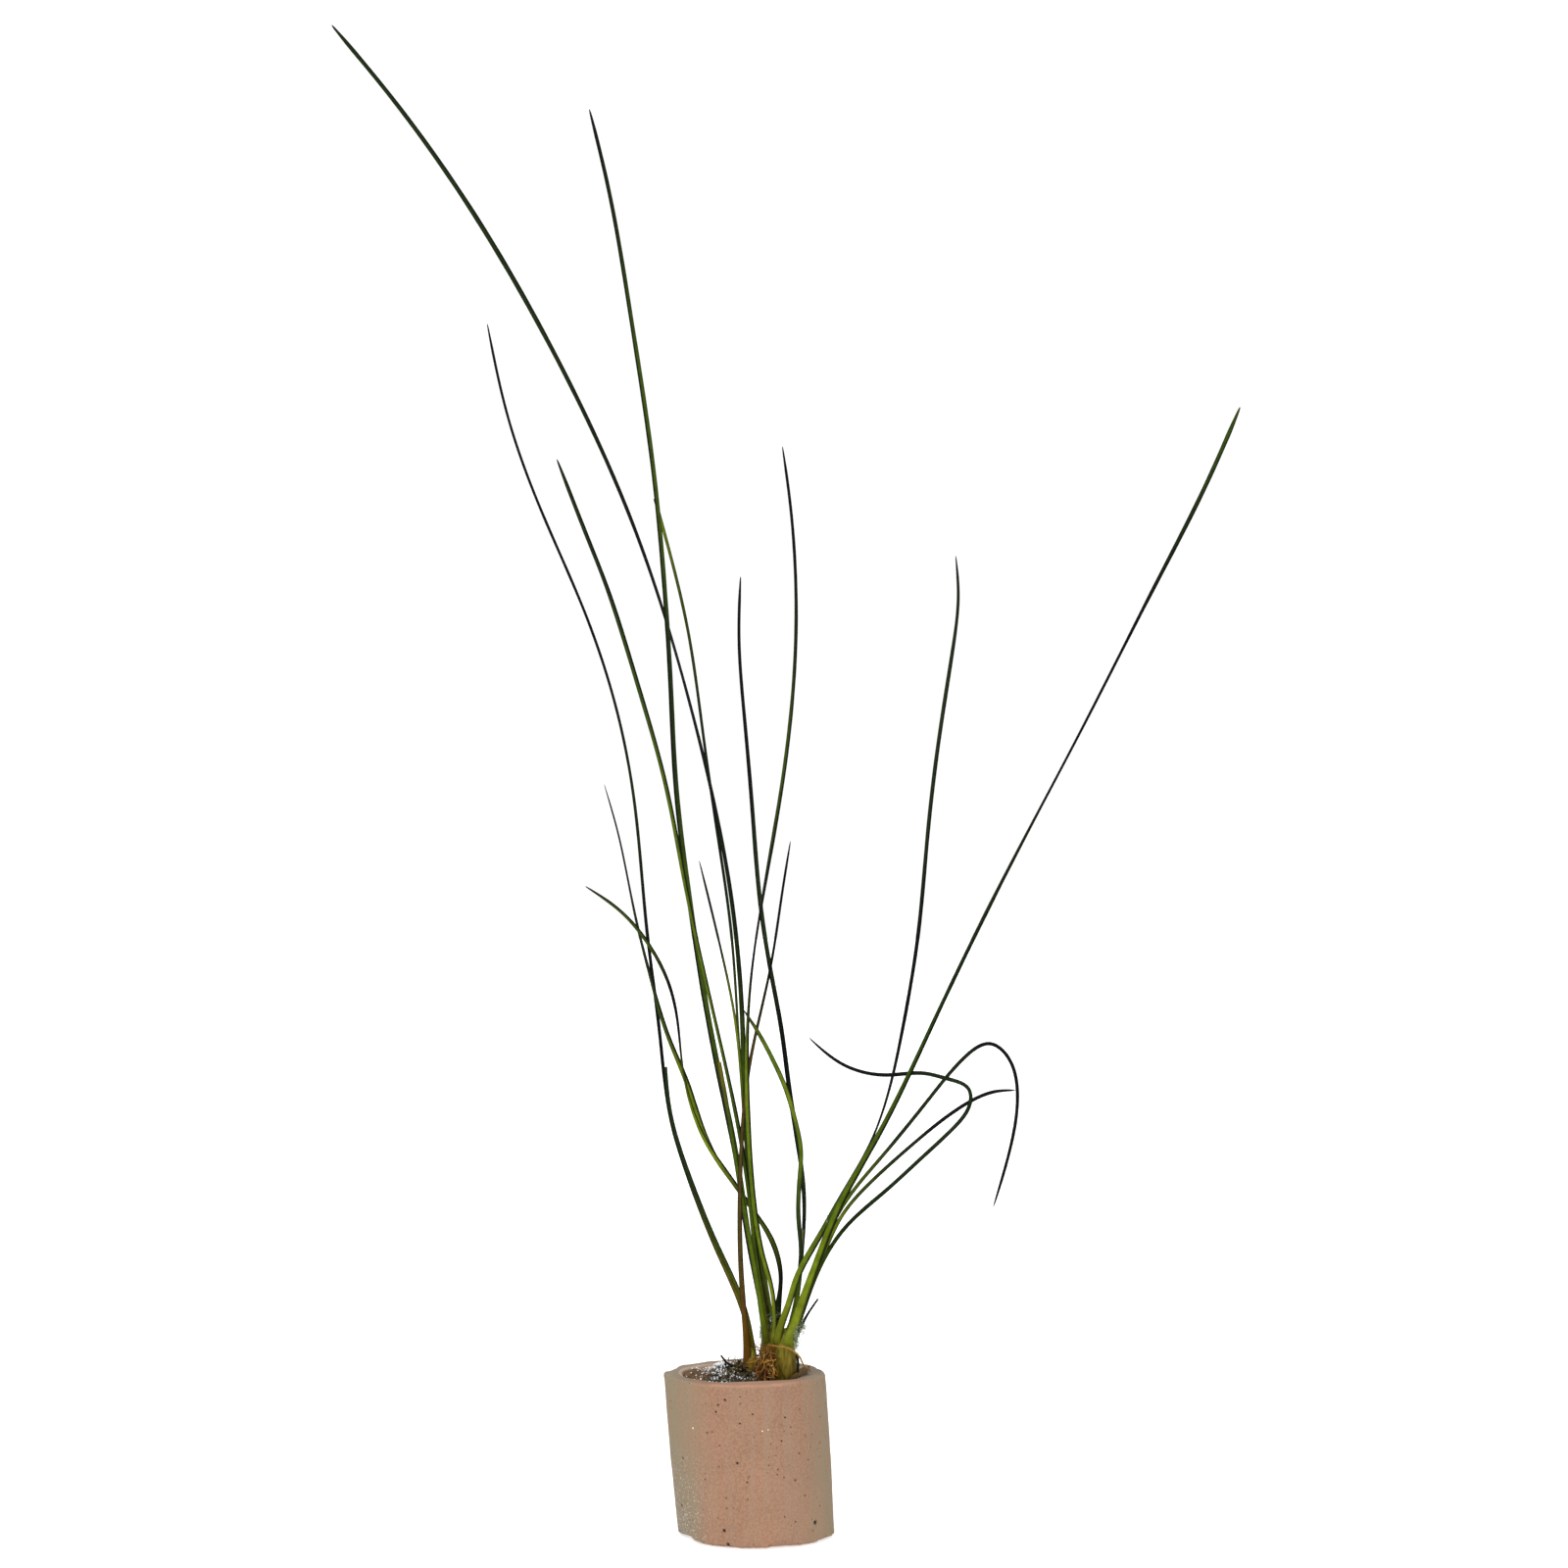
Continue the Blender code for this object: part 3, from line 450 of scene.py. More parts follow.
# Slag beads: melted drops, white and shiny, a tenth to half a millimetre across.
BEADS = 800
draw = np.random.default_rng(22)
spots = np.concatenate([over_wool(draw, BEADS // 2, (-7.2, 6.8), (1.8, 2.4)),
                        over_wool(draw, BEADS // 4, (-7.0, -1.0), (3.5, 6.0)),
                        over_wool(draw, BEADS // 4, (-2.0, -3.0), (7.0, 7.0))])
spots[:, 2] += draw.uniform(0.0, 0.8, len(spots)) * np.exp(-((spots[:, 0] + 8) / 5) ** 2) + 0.1
corners, faces = balls(spots, 0.07 + 0.17 * draw.random(len(spots)) ** 2)
slag = new_finish("slag bead", Base_Color="#ffffff", Roughness=0.12, IOR=1.6, Coat_Weight=0.5,
                  Coat_Roughness=0.05)
add_piece("wool_beads", corners, slag, faces=faces)

# The crowns: short stems wrapped in the feet of the leaves, each clasping the next. The right one is a pale
# green bulb, the middle one hides behind the roots, and the left one is thin, brown and dying. place is
# (right, behind), stretch is the width over the depth, folds is how many sheaths wrap it, and feet are the
# (outwards, down) of the two points in it where a leaf starts. The tones go from foot to top, and the
# outline is (radius, height).
CROWNS = {
    "crown_left": dict(place=(-1.2, 4.0), stretch=1.25, folds=3, feet=((1.3, 6.5), (1.5, 3.4)), tones=(
        "#4e3a12", "#775c1a", "#75701f"), outline=(
        (0.5, 29.6), (0.9, 30.4), (1.35, 32.4), (1.35, 34.6), (1.0, 36.8), (0.4, 38.6))),
    "crown_middle": dict(place=(2.7, 0.9), stretch=1.0, folds=5, feet=((0.7, 3.4), (1.4, 1.4)), tones=(
        "#3e260a", "#6a4a12", "#5c5c16"), outline=(
        (0.7, 29.4), (1.5, 30.4), (2.05, 32.8), (2.1, 35.6), (1.9, 38.4), (1.7, 41.0), (0.8, 44.0))),
    "crown_right": dict(place=(6.1, -4.0), stretch=1.08, folds=4, feet=((0.7, 3.4), (1.4, 1.4)), tones=(
        "#4a380c", "#6e6018", "#6e701c"), outline=(
        (0.8, 29.2), (1.4, 30.6), (1.85, 32.8), (2.15, 35.4), (2.05, 38.2), (1.7, 41.0), (0.8, 44.0))),
}
CROWN_FOOT = 32                          # the level at which the tones start


def smooth_route(points, spacing):
    """Points a spacing apart on the natural cubic spline through the given ones.

    Its second derivatives are solved from one equation a point, and its knots are as far apart as the chords
    to the power of three quarters.
    """
    points = np.asarray(points, float)
    chords = np.linalg.norm(np.diff(points, axis=0), axis=1)
    knots = np.concatenate([[0.0], np.cumsum(chords ** 0.75)])
    count, gaps = len(points), np.diff(knots)
    matrix, right = np.eye(count), np.zeros((count, points.shape[1]))
    for i in range(1, count - 1):
        matrix[i, i - 1:i + 2] = gaps[i - 1], 2 * (gaps[i - 1] + gaps[i]), gaps[i]
        right[i] = 6 * ((points[i + 1] - points[i]) / gaps[i] - (points[i] - points[i - 1]) / gaps[i - 1])
    bend = np.linalg.solve(matrix, right)
    at = np.linspace(0.0, knots[-1], max(round(chords.sum() / spacing), 3) + 1)
    i = np.clip(np.searchsorted(knots, at, side="right") - 1, 0, count - 2)
    width = gaps[i][:, None]
    before, after = (at - knots[i])[:, None], (knots[i + 1] - at)[:, None]
    return ((bend[i] * after ** 3 + bend[i + 1] * before ** 3) / (6 * width)
            + (points[i] / width - bend[i] * width / 6) * after
            + (points[i + 1] / width - bend[i + 1] * width / 6) * before)


def blend_tones(tones, share):
    """Linear colours at the shares of a length, between hex tones that stand at equal steps along it."""
    stops = np.array([linear(tone) for tone in tones])
    return np.stack([np.interp(share, np.linspace(0, 1, len(tones)), stop) for stop in stops.T], axis=-1)


def wrinkled_skin(name, squeeze, size, low, high, dark, light, depth, **shader):
    """A skin in its corners' tones, which noise shades from dark to light and raises by a depth in mm."""
    finish = new_finish(name, **shader)
    tone = node(finish, "Attribute", attribute_name="tone")["Color"]
    noise = grain(finish, size, squeeze=squeeze)
    shade = node(finish, "MapRange", (noise, low, high, dark, light))[0]
    colour = node(finish, "VectorMath", {0: tone, "Scale": shade}, operation="SCALE")[0]
    bump = node(finish, "Bump", {"Height": shade, "Strength": 0.5, "Distance": depth * MM})[0]
    feed(finish, Base_Color=colour, Normal=bump)
    return finish


# Moist plant skin: waxy, with fine ribs along it, greener and lighter where it is young.
crown_skin = wrinkled_skin("moist crown skin", 0.1, 0.35, 0.35, 0.65, 0.55, 1.25, 0.08,
                           Roughness=0.5, IOR=1.42, Specular_IOR_Level=0.15)

for name, crown in CROWNS.items():
    outline = smooth_route(crown["outline"], 0.25)
    outline = np.concatenate([[(0, outline[0, 1])], outline, [(0, outline[-1, 1] + 0.4)]])
    turn = np.linspace(0, 2 * np.pi, 121)
    radius, level = (values[:, None] + 0 * turn for values in outline.T)
    fold = (turn * crown["folds"] / (2 * np.pi) + 0.11 * (level - 33)) % 1     # 0 at a sheath's free edge
    radius = radius * (1 + 0.14 * (1 - fold) ** 3 - 0.05 * np.exp(-(fold / 0.06) ** 2))
    place = np.stack([radius * np.cos(turn) * crown["stretch"], radius * np.sin(turn), level], axis=-1)
    place += 0.06 * unevenness(place, 2, 31)[..., None] * np.clip(radius, 0, 1)[..., None] * (1, 1, 0)
    share = (level - CROWN_FOOT) / (outline[-1, 1] - CROWN_FOOT)
    skin_tone = blend_tones(crown["tones"], np.clip(share + 0.12 * unevenness(place, 2.5, 32), 0, 1))
    # Painted shade: the tone darkens by up to a quarter in the crease beside each sheath's free edge.
    skin_tone *= (0.75 + 0.35 * np.clip(fold / 0.25, 0, 1))[..., None]
    place[..., :2] += crown["place"]
    add_piece(name + "_skin", place, crown_skin, [name], tone=skin_tone)

# The leaves: long straps, a millimetre wide and less than half as thick, that rise from the crowns in a fan.
# Each clasps its crown with a wide pale foot, is channelled along its inner side, and turns edge-on where it
# twists. The points are those that each leaf passes, sighted from the front as (right of the foot's centre,
# up, behind it). Widths, turns and tones are at equal steps from base to tip; a turn of 0 faces the front
# and 90 is edge-on. The tones are the leaves' own greens with painted light and shade in them: brighter
# where a broad face is lit, near black where it is in shade. base is the sheath's width, and lit is where
# the lit band between the margins' painted shade runs across, from -1 at the left to 1.
EYE = np.array([5.84, -758.0, 159.4])
GREENS = {"pale": "#767a24", "bright": "#647410", "fresh": "#4a5c0a", "mid": "#33440b", "deep": "#1a270b",
          "night": "#070c05", "olive": "#5e560f", "brown": "#644312", "straw": "#77724a",
          "umber": "#453814"}
LEAVES = {
    "leaf_long_left": dict(
        base=2.1, widths=(1.3, 1.2, 1.05, 1.05, 1.15, 0.9), turns=(15, 20, 58, 15, 10), lit=-0.2,
        tones="olive fresh deep night night deep deep deep", points=((2.4, 41.6, 2.2), (1, 57.2, 3.4),
        (-2.2, 84.3, 5.5), (-3.1, 109.3, 8), (-5.9, 138.5, 11), (-13.8, 175, 16), (-27.1, 216.7, 21),
        (-47, 258.4, 26), (-62.6, 284.5, 29.5), (-77.6, 305.4, 33), (-90.5, 321, 36))),
    "leaf_tall_left": dict(
        base=2.4, widths=(1.4, 1.4, 1.2, 1.02, 1, 0.78), turns=(10, 10, 10, 10, 20), lit=0.35,
        tones="olive bright mid mid mid deep deep mid mid deep night", points=((1.5, 41.4, 0.7),
        (-1.3, 59.7, 0.8), (-4.1, 78, 0.5), (-7.9, 96.8, -0.6), (-11.8, 117.6, -3), (-14.9, 138.5, -5.5),
        (-17.3, 159.4, -8), (-18.4, 180.2, -11), (-19.7, 201.1, -15), (-22.2, 227.2, -20),
        (-26.8, 258.4, -26), (-31.3, 284.5, -32), (-35.7, 303.1, -36))),
    "leaf_middle_left": dict(
        base=2, widths=(1.4, 1.05, 0.8, 1, 1, 0.8), turns=(10, 20, 20, 20, 10), lit=-0.25,
        tones="olive fresh mid fresh fresh mid deep deep", points=((2.3, 41.3, -0.3), (0.35, 55.1, -0.4),
        (-1.35, 69.3, -1), (-4, 86.4, -2.5), (-7.3, 102, -4.5), (-10.9, 117.6, -7), (-15.4, 138.5, -9.5),
        (-19.5, 159.4, -12.5), (-25.3, 180.2, -18), (-31.9, 201.1, -24), (-36.1, 211.9, -27),
        (-42.6, 228.6, -34))),
    "leaf_short_left": dict(
        base=1.9, widths=(1.1, 1, 0.9), turns=(10, 10), broken="olive",
        tones="olive fresh fresh fresh mid olive", points=((1.9, 41.1, -1.3), (0.2, 51.9, -1.6),
        (-1.7, 63, -2), (-3.8, 74.9, -2.4), (-5.8, 87.4, -3.2), (-8.1, 100.3, -5))),
    "leaf_back_thin": dict(
        base=1.6, widths=(0.9, 0.8, 0.65, 0.7, 0.75, 0.9), turns=(30, 60, 20, 30, 35), broken="fresh",
        tones="pale fresh fresh mid deep night deep mid bright", points=((3.9, 41.5, 1.5), (1.7, 55.1, 2.1),
        (-0.4, 67.6, 2.5), (-2.3, 84.3, 3.4), (-4, 107.2, 5), (-5.5, 128.1, 7), (-8.4, 148.9, 9),
        (-11.4, 169.8, 12), (-14.4, 190.7, 17), (-17.9, 206.3, 22), (-21.7, 220.3, 27))),
    "leaf_front_tall": dict(
        base=1.5, lit=-0.3, widths=(0.95, 1.1, 1, 0.9, 0.75, 0.55),
        turns=(20, 20, 10, 10, 55, 66, 15, 10, 10, 10, 10),
        tones="pale bright fresh bright night deep mid deep night night", points=((3.5, 41.1, -1.1),
        (3.3, 50.9, -1.8), (1.2, 59.2, -2.6), (-0.8, 71.8, -3.6), (-1.9, 88.4, -5.4), (-2.1, 107.2, -8),
        (-0.8, 122.9, -11), (1.7, 138.5, -15), (5.3, 159.4, -22), (7.7, 180.2, -30), (8.3, 198, -37),
        (7.3, 216.7, -45), (5.4, 231.3, -52))),
    "leaf_needle": dict(
        base=1.5, widths=(0.8, 0.7, 0.65, 0.5), turns=(20, 20),
        tones="olive fresh mid mid bright deep night", points=((3.1, 41.4, 0.5), (1, 55.1, 0.8),
        (-1, 68.6, 0.9), (-2.7, 86.4, 0.9), (-4.4, 107.2, 0.2), (-7.4, 122.9, -2), (-12.3, 143.1, -6))),
    "leaf_twisted": dict(
        base=1.5, widths=(1, 1, 1.25, 0.9, 0.6), turns=(10, 40, 75, 15, 40, 60, 60), lit=-0.4,
        tones="olive deep night night bright bright mid deep deep night night", points=((2.9, 41.8, 3.1),
        (4.6, 49.9, 4.9), (5, 55.1, 6.4), (3.1, 62, 8), (-1.3, 69.3, 9.2), (-5.8, 75.7, 10),
        (-10.5, 83.9, 10.8), (-14.9, 96, 11.2), (-19, 106.2, 11.5), (-22.4, 117.6, 11.8),
        (-25.1, 128.1, 12.2), (-27.3, 138.5, 13), (-29.5, 148.9, 14), (-32.5, 159.4, 15))),
    "leaf_low_arch": dict(
        base=1.5, lit=-0.3, widths=(0.85, 0.85, 1.15, 0.45, 0.85, 0.65), turns=(10, 10),
        tones="pale deep night fresh deep bright bright mid night night mid mid deep",
        points=((4.2, 41.7, 2.4), (4.9, 49.9, 3.8), (5.1, 55.5, 5.2), (3.4, 62.2, 6.6), (-0.7, 68.6, 7.6),
        (-5.3, 75.1, 8.2), (-10.7, 83.1, 8.7), (-14.3, 92, 8.8), (-16, 100.5, 8.2), (-16.9, 108.9, 7),
        (-19, 117.6, 5.5), (-24.2, 127, 3.5), (-29.6, 132.9, 1.5), (-36.5, 137.7, -1))),
    "leaf_thin_left": dict(
        base=1.9, widths=(0.95, 0.8, 0.8, 0.65, 0.65, 0.6), turns=(10, 10),
        tones="brown olive deep night night deep night night night night", points=((-1.1, 37.4, 5),
        (-2.9, 46.7, 5.4), (-8.6, 60.3, 7.5), (-14.7, 75.9, 10.5), (-18.5, 88.9, 13), (-20.8, 107.2, 16),
        (-23.4, 128.1, 20), (-25.9, 154.1, 25), (-29.8, 175, 29), (-36.6, 195.9, 33), (-45.5, 216.7, 37),
        (-53, 237.6, 41), (-57.4, 257.4, 44))),
    "leaf_brown": dict(
        base=2.6, widths=(1.2, 1.15, 0.85, 0.6, 0.52), turns=(10, 10), lit=0,
        tones="brown brown umber umber umber umber night night night", points=((-2.2, 37.1, 3.1),
        (-3.1, 50.9, 0.2), (-3.7, 67.6, -3.9), (-3.1, 86.4, -3.4), (-1.3, 101.4, -4.5), (2.7, 119.7, -7.5),
        (5.2, 135.4, -11), (7.1, 147.3, -14))),
    "leaf_left_stub": dict(
        base=3.1, lit=-0.15, widths=(0.9, 0.8, 0.7), turns=(20, 20), broken="deep",
        tones="olive olive mid deep deep deep", points=((-0.4, 37.2, 4), (-2.2, 46.7, 3.9), (-8.3, 61.3, 6),
        (-14.2, 75.9, 8.7), (-18.2, 88.9, 11.4), (-19.4, 99.3, 14))),
    "leaf_right_inner": dict(
        base=2.2, widths=(0.9, 1.05, 1.08, 1, 0.95, 0.8, 0.65), turns=(0, 50, 0, 0, 0, 10, 10), lit=0.2,
        tones="pale fresh night deep night night deep deep night night night night",
        points=((6.4, 40.9, -2.7), (8, 47.1, -2.7), (9.2, 54.4, -2.4), (10, 64.5, -1.5), (10, 72.8, -0.5),
        (9, 81.1, 0.6), (7.1, 93, 2.6), (5.2, 107.2, 5.5), (3.3, 117.6, 8), (0.8, 133.3, 12),
        (-1, 154.1, 18), (-2.7, 174, 25), (-3.8, 189.6, 32), (-3.5, 203.6, 40))),
    "leaf_right_bud": dict(
        base=2.2, widths=(0.7, 0.75, 1), turns=(10, 10), broken="straw", tones="pale deep fresh straw",
        points=((5.5, 40.7, -3.8), (7.85, 47.8, -3.9), (9, 55.1, -3.9), (9.6, 64.7, -4.2))),
    "leaf_right_arch": dict(
        base=2.2, widths=(0.85, 0.85, 1, 1, 1, 0.8), turns=(0, 0),
        tones="pale fresh fresh deep deep mid fresh fresh bright fresh fresh deep",
        points=((6.2, 40.5, -4.9), (7.8, 46.7, -5.1), (9, 54.4, -5.3), (9.3, 60.9, -5.7), (8.8, 67.6, -6.5),
        (9.1, 75.9, -8), (9.3, 81.8, -9.2), (8.1, 88, -10.5), (6, 94.9, -12), (3.5, 100.5, -14),
        (0.6, 106, -16), (-2.7, 111.2, -18))),
    "leaf_right_back": dict(
        base=2.4, widths=(1.5, 1.35, 1.05, 0.9, 0.95, 0.95, 0.6), turns=(0, 10, 72, 20, 20, 20, 20),
        lit=-0.2, tones="olive bright mid deep night night deep deep deep night", points=((4.4, 40.5, -5),
        (6.5, 48.2, -6.4), (8.6, 54.7, -7.4), (12.8, 62.5, -7.4), (17.9, 71.8, -6.2), (23.8, 82.6, -4.6),
        (27.7, 93.2, -3), (30.9, 107.2, 0), (34.2, 127, 5), (36.3, 148.9, 11), (38.8, 169.8, 18),
        (41.7, 188.6, 26), (42.8, 199, 30), (42.3, 208, 34))),
    "leaf_long_right": dict(
        base=2.8, widths=(2.3, 1.9, 1.3, 1.1, 1.05, 0.95), turns=(10, 38, 46, 48, 48, 66, 58, 25, 10),
        lit=-0.12, tones="pale bright fresh mid deep deep night night deep mid", points=((6.7, 40.3, -6.1),
        (9.4, 48.8, -8), (13, 58.8, -9.4), (17.8, 70.5, -9.8), (26.3, 85.9, -10.4), (36.7, 107.2, -11),
        (51.9, 138.5, -13), (68.3, 169.8, -16), (84.3, 201.1, -20), (94.9, 221.9, -23),
        (102.8, 239.7, -26))),
    "leaf_curl": dict(
        base=2, widths=(1.05, 0.95, 0.95, 0.95, 0.9, 0.75), turns=(20, 20, 25, 25, 20, 40),
        tones="pale deep mid deep deep deep deep deep night night night", points=((7.9, 40.7, -3.9),
        (10.5, 49.2, -4.1), (14.2, 58.2, -4.1), (19.2, 65.5, -3.8), (27.3, 72.8, -3.2), (35.3, 80.1, -2.2),
        (41.7, 86.1, -1.2), (45.3, 91.2, -0.7), (45, 94.7, -1), (40.5, 96.8, -2), (35, 98, -3.8),
        (27.5, 97.6, -6), (18.8, 99.6, -9), (11.1, 105.5, -14))),
    "leaf_hook": dict(
        base=2, widths=(1.05, 0.9, 0.85, 0.88, 0.85, 0.72), turns=(20, 20),
        tones="pale bright fresh fresh deep deep night night night night", points=((6.2, 41, -1.7),
        (11.1, 51.9, -1.4), (15.4, 64.2, -0.2), (20.6, 73, 1.2), (26.7, 80.3, 2.8), (36.9, 92.8, 6),
        (43.8, 100.9, 8), (49.4, 104.2, 10), (53.6, 101, 12), (55.4, 93.7, 14), (54.4, 84.3, 15),
        (50.3, 69.5, 15))),
    "leaf_right_low": dict(
        base=1.9, widths=(1, 0.88, 0.82, 0.85), turns=(20, 20),
        tones="pale bright fresh bright mid deep night night night", points=((7.6, 40.9, -2.7),
        (10.4, 49.9, -2.7), (14.8, 60.9, -2.1), (18.3, 67.9, -1.4), (24.2, 74.7, -0.4), (32.7, 82.4, 1.2),
        (41.3, 89.3, 2.6), (47.8, 93.1, 3.6), (51.3, 94.1, 4.2), (54.9, 94.3, 4.8))),
    "leaf_dry_stub": dict(
        base=1.2, widths=(0.6, 0.5, 0.4), turns=(0, 0), broken="night", tones="mid deep night night",
        points=((7.9, 40.5, -5.3), (10.2, 45.6, -6.4), (13, 49.9, -7.2))),
}
LEAF_STEP, SECTION = 0.8, 18               # mm between a leaf's rings, and corners round it
LEAF_THICKNESS, LEAF_CHANNEL = 0.3, 0.22   # mm at the midrib, and the channel's depth in half widths
TAPER = 6.0                                # mm over which a tip that isn't broken runs out to a point
CLASP, LIT_FOOT, DRIED = 9, 20, 2.2        # mm that clasp the crown, over which the margins' painted shade fades towards the foot, that have dried


def from_sighting(points):
    """Real places of points sighted from the eye: each is pushed along its line of sight to its depth."""
    side, up, depth = np.asarray(points, float).T
    reach = (depth - EYE[1]) / -EYE[1]
    return np.stack([EYE[0] + (side - EYE[0]) * reach, depth, EYE[2] + (up - EYE[2]) * reach], axis=1)


def strap(route, out, half_width, thickness, channel):
    """A leaf: at each point of the route, a ring of corners square to it.

    With u from -1 to 1 across the leaf and s = sqrt(1 - u squared), a corner stands u half widths to the
    side and plus or minus s to the power 0.8 half thicknesses outwards, less u squared times the channel's
    depth.
    """
    along = unit(np.gradient(route, axis=0))
    side = unit(np.cross(along, out))
    out = np.cross(side, along)
    angle = np.linspace(0, 2 * np.pi, SECTION + 1)
    u, s = np.cos(angle), np.sin(angle)
    lift = np.sign(s) * np.abs(s) ** 0.8 * thickness[:, None] / 2 - u ** 2 * (channel * half_width)[:, None]
    aside = (u * half_width[:, None])[..., None]
    rings = route[:, None] + side[:, None] * aside + out[:, None] * lift[..., None]
    return rings, np.broadcast_to(u, lift.shape)


# Leaf skin: smooth and a little waxy, with fine veins along it, and painted shade that darkens both margins
# to near black around a lit green band.
leaf_skin = new_finish("waxy leaf skin", Roughness=0.5, IOR=1.45, Specular_IOR_Level=0.07)
old_skin = new_finish("dying leaf skin", Roughness=0.7, IOR=1.45, Specular_IOR_Level=0.07)
for finish in (leaf_skin, old_skin):
    tone = node(finish, "Attribute", attribute_name="tone")["Color"]
    skin = node(finish, "UVMap", uv_map="skin")[0]
    across = node(finish, "SeparateXYZ", (skin,))[0]
    off_band = node(finish, "Math", (across,), operation="ABSOLUTE")[0]
    margin_painted_shade = node(finish, "MapRange", (off_band, 0.36, 0.8, 1.0, 0.06),
                  interpolation_type="SMOOTHSTEP")[0]
    waves = {"Vector": skin, "Scale": 3.0, "Distortion": 0.6, "Detail Scale": 0.4}
    veins = node(finish, "TexWave", waves, wave_type="BANDS", bands_direction="X")[1]
    mottle = node(finish, "MapRange", (grain(finish, 1.8), 0.3, 0.7, 0.75, 1.2))[0]
    lined = node(finish, "MapRange", {0: veins, 3: 0.86, 4: 1.08})[0]
    shade = node(finish, "Math", (margin_painted_shade, mottle), operation="MULTIPLY")[0]
    shade = node(finish, "Math", (shade, lined), operation="MULTIPLY")[0]
    colour = node(finish, "VectorMath", {0: tone, "Scale": shade}, operation="SCALE")[0]
    bump = node(finish, "Bump", {"Height": veins, "Strength": 0.3, "Distance": 0.03 * MM})[0]
    feed(finish, Base_Color=colour, Normal=bump)

for number, (name, leaf) in enumerate(LEAVES.items()):
    points = from_sighting(leaf["points"])
    crown = min(CROWNS.values(), key=lambda crown: np.hypot(*(points[0, :2] - crown["place"])))
    outward = unit(points[0, :2] - crown["place"])
    foot = [(*(crown["place"] + outward * reach), points[0, 2] - down) for reach, down in crown["feet"]]
    route = smooth_route(np.concatenate([foot, points]), LEAF_STEP)
    share = np.linspace(0, 1, len(route))
    run = share * len(route) * LEAF_STEP                     # mm above the sheath's foot
    to_tip = run[-1] - run
    width = np.interp(share, np.linspace(0, 1, len(leaf["widths"])), leaf["widths"])
    width += (leaf["base"] - leaf["widths"][0]) * np.exp(-(run / (crown["feet"][0][1] + 4.5)) ** 2)
    width *= 1 + 0.03 * unevenness(route, 9, 40 + number)
    if not leaf.get("broken"):
        width *= np.clip(to_tip / TAPER, 0, 1) ** 0.5 * 0.75 + 0.25
    turn = np.radians(np.interp(share, np.linspace(0, 1, len(leaf["turns"])), leaf["turns"]))
    along = unit(np.gradient(route, axis=0))
    side = unit(np.cross(along, route - EYE))
    facing = np.cross(side, along)
    sighted = -side * np.sin(turn)[:, None] + facing * np.cos(turn)[:, None]
    sighted *= 1.0 if sighted[0, :2] @ outward > 0 else -1.0
    clasp = unit(np.array([outward[0], outward[1] - 0.6, 0.0]))
    hold = np.exp(-(run / CLASP) ** 2)
    out = unit(sighted * (1 - hold[:, None]) + clasp * hold[:, None])
    thickness = LEAF_THICKNESS * (1 - 0.35 * share) * np.clip(0.35 + to_tip / TAPER, 0, 1)
    channel = LEAF_CHANNEL + 0.45 * hold
    rings, u = strap(route, out, width / 2, thickness, channel)
    rings = np.concatenate([route[:1, None] + 0 * rings[:1], rings, route[-1:, None] + 0 * rings[-1:]])
    u = np.concatenate([u[:1], u, u[-1:]])
    run = np.concatenate([run[:1], run, run[-1:]])[:, None] + 0 * u
    share = np.concatenate([share[:1], share, share[-1:]])
    tones = blend_tones([GREENS[tone] for tone in leaf["tones"].split()], share)
    if leaf.get("broken"):
        dried = np.exp(-((1 - share) * to_tip[0] / DRIED) ** 2)[:, None]
        tones = tones * (1 - dried) + linear(GREENS[leaf["broken"]]) * dried
    tones = np.repeat(tones, SECTION + 1, axis=0)
    # The UV's first coordinate runs across the leaf and places the painted shade: it is turned by which edge
    # is seen at the left, narrowed near the foot and shifted by lit.
    middle = len(side) // 2
    seen_left = 1.0 if side[middle] @ np.cross(along, out)[middle] > 0 else -1.0
    spread = 0.85 - 0.4 * np.exp(-(run / LIT_FOOT) ** 2)
    uv = np.stack([-u * seen_left * spread - leaf.get("lit", 0.0), run / 10], axis=-1)
    dying = name in ("leaf_brown", "leaf_dry_stub")
    finish, slot = (old_skin, "leaf_brown") if dying else (leaf_skin, "leaf_green")
    add_piece(name + "_strap", rings, finish, [name], uv=uv, tone=tones)

# The roots: wiry, tan to orange, as thick as a bristle. A few hold the bulb and dive into the wool, and a
# mat of fine rootlets fills the gap between the crowns.
ROOTS = {
    "root_loop": dict(diameter=0.5, tones=("#7a5018", "#9a7434", "#7a5a2c"), points=(
        (2.4, -3.2, 40.6), (4.0, -6.4, 40.8), (6.4, -7.2, 40.6), (8.4, -7.0, 39.4), (9.4, -6.8, 37.8),
        (10.1, -6.4, 36.6), (10.9, -5.4, 35.9), (11.4, -4.4, 35.0))),
    "root_front": dict(diameter=0.5, tones=("#7a4a1c", "#5a2c10", "#7a4a1c"), points=(
        (3.4, -2.8, 39.0), (2.9, -5.4, 38.0), (2.0, -6.2, 36.0), (1.6, -6.6, 33.9), (1.5, -6.6, 31.8))),
    "root_middle": dict(diameter=0.45, tones=("#8a5420", "#6a3614"), points=(
        (1.7, -2.0, 38.2), (0.6, -3.2, 36.8), (-0.1, -3.9, 35.2), (0.2, -4.4, 34.0), (0.4, -4.6, 31.8))),
    "root_back": dict(diameter=0.62, tones=("#3a2c14", "#16110a", "#040403"), points=(
        (-2.3, 1.4, 34.6), (-4.6, 0.9, 35.4), (-6.4, 0.5, 36.2), (-7.8, 0.2, 38.0))),
    # root_side is a root drawn near black, as painted shade along the bulb's right side.
    "root_side": dict(diameter=0.62, tones=("#0e0a06", "#060403"), points=(
        (8.4, -4.7, 39.2), (8.75, -4.8, 37.4), (8.7, -4.9, 35.9), (8.5, -5.0, 34.4), (8.4, -5.0, 32.4))),
}
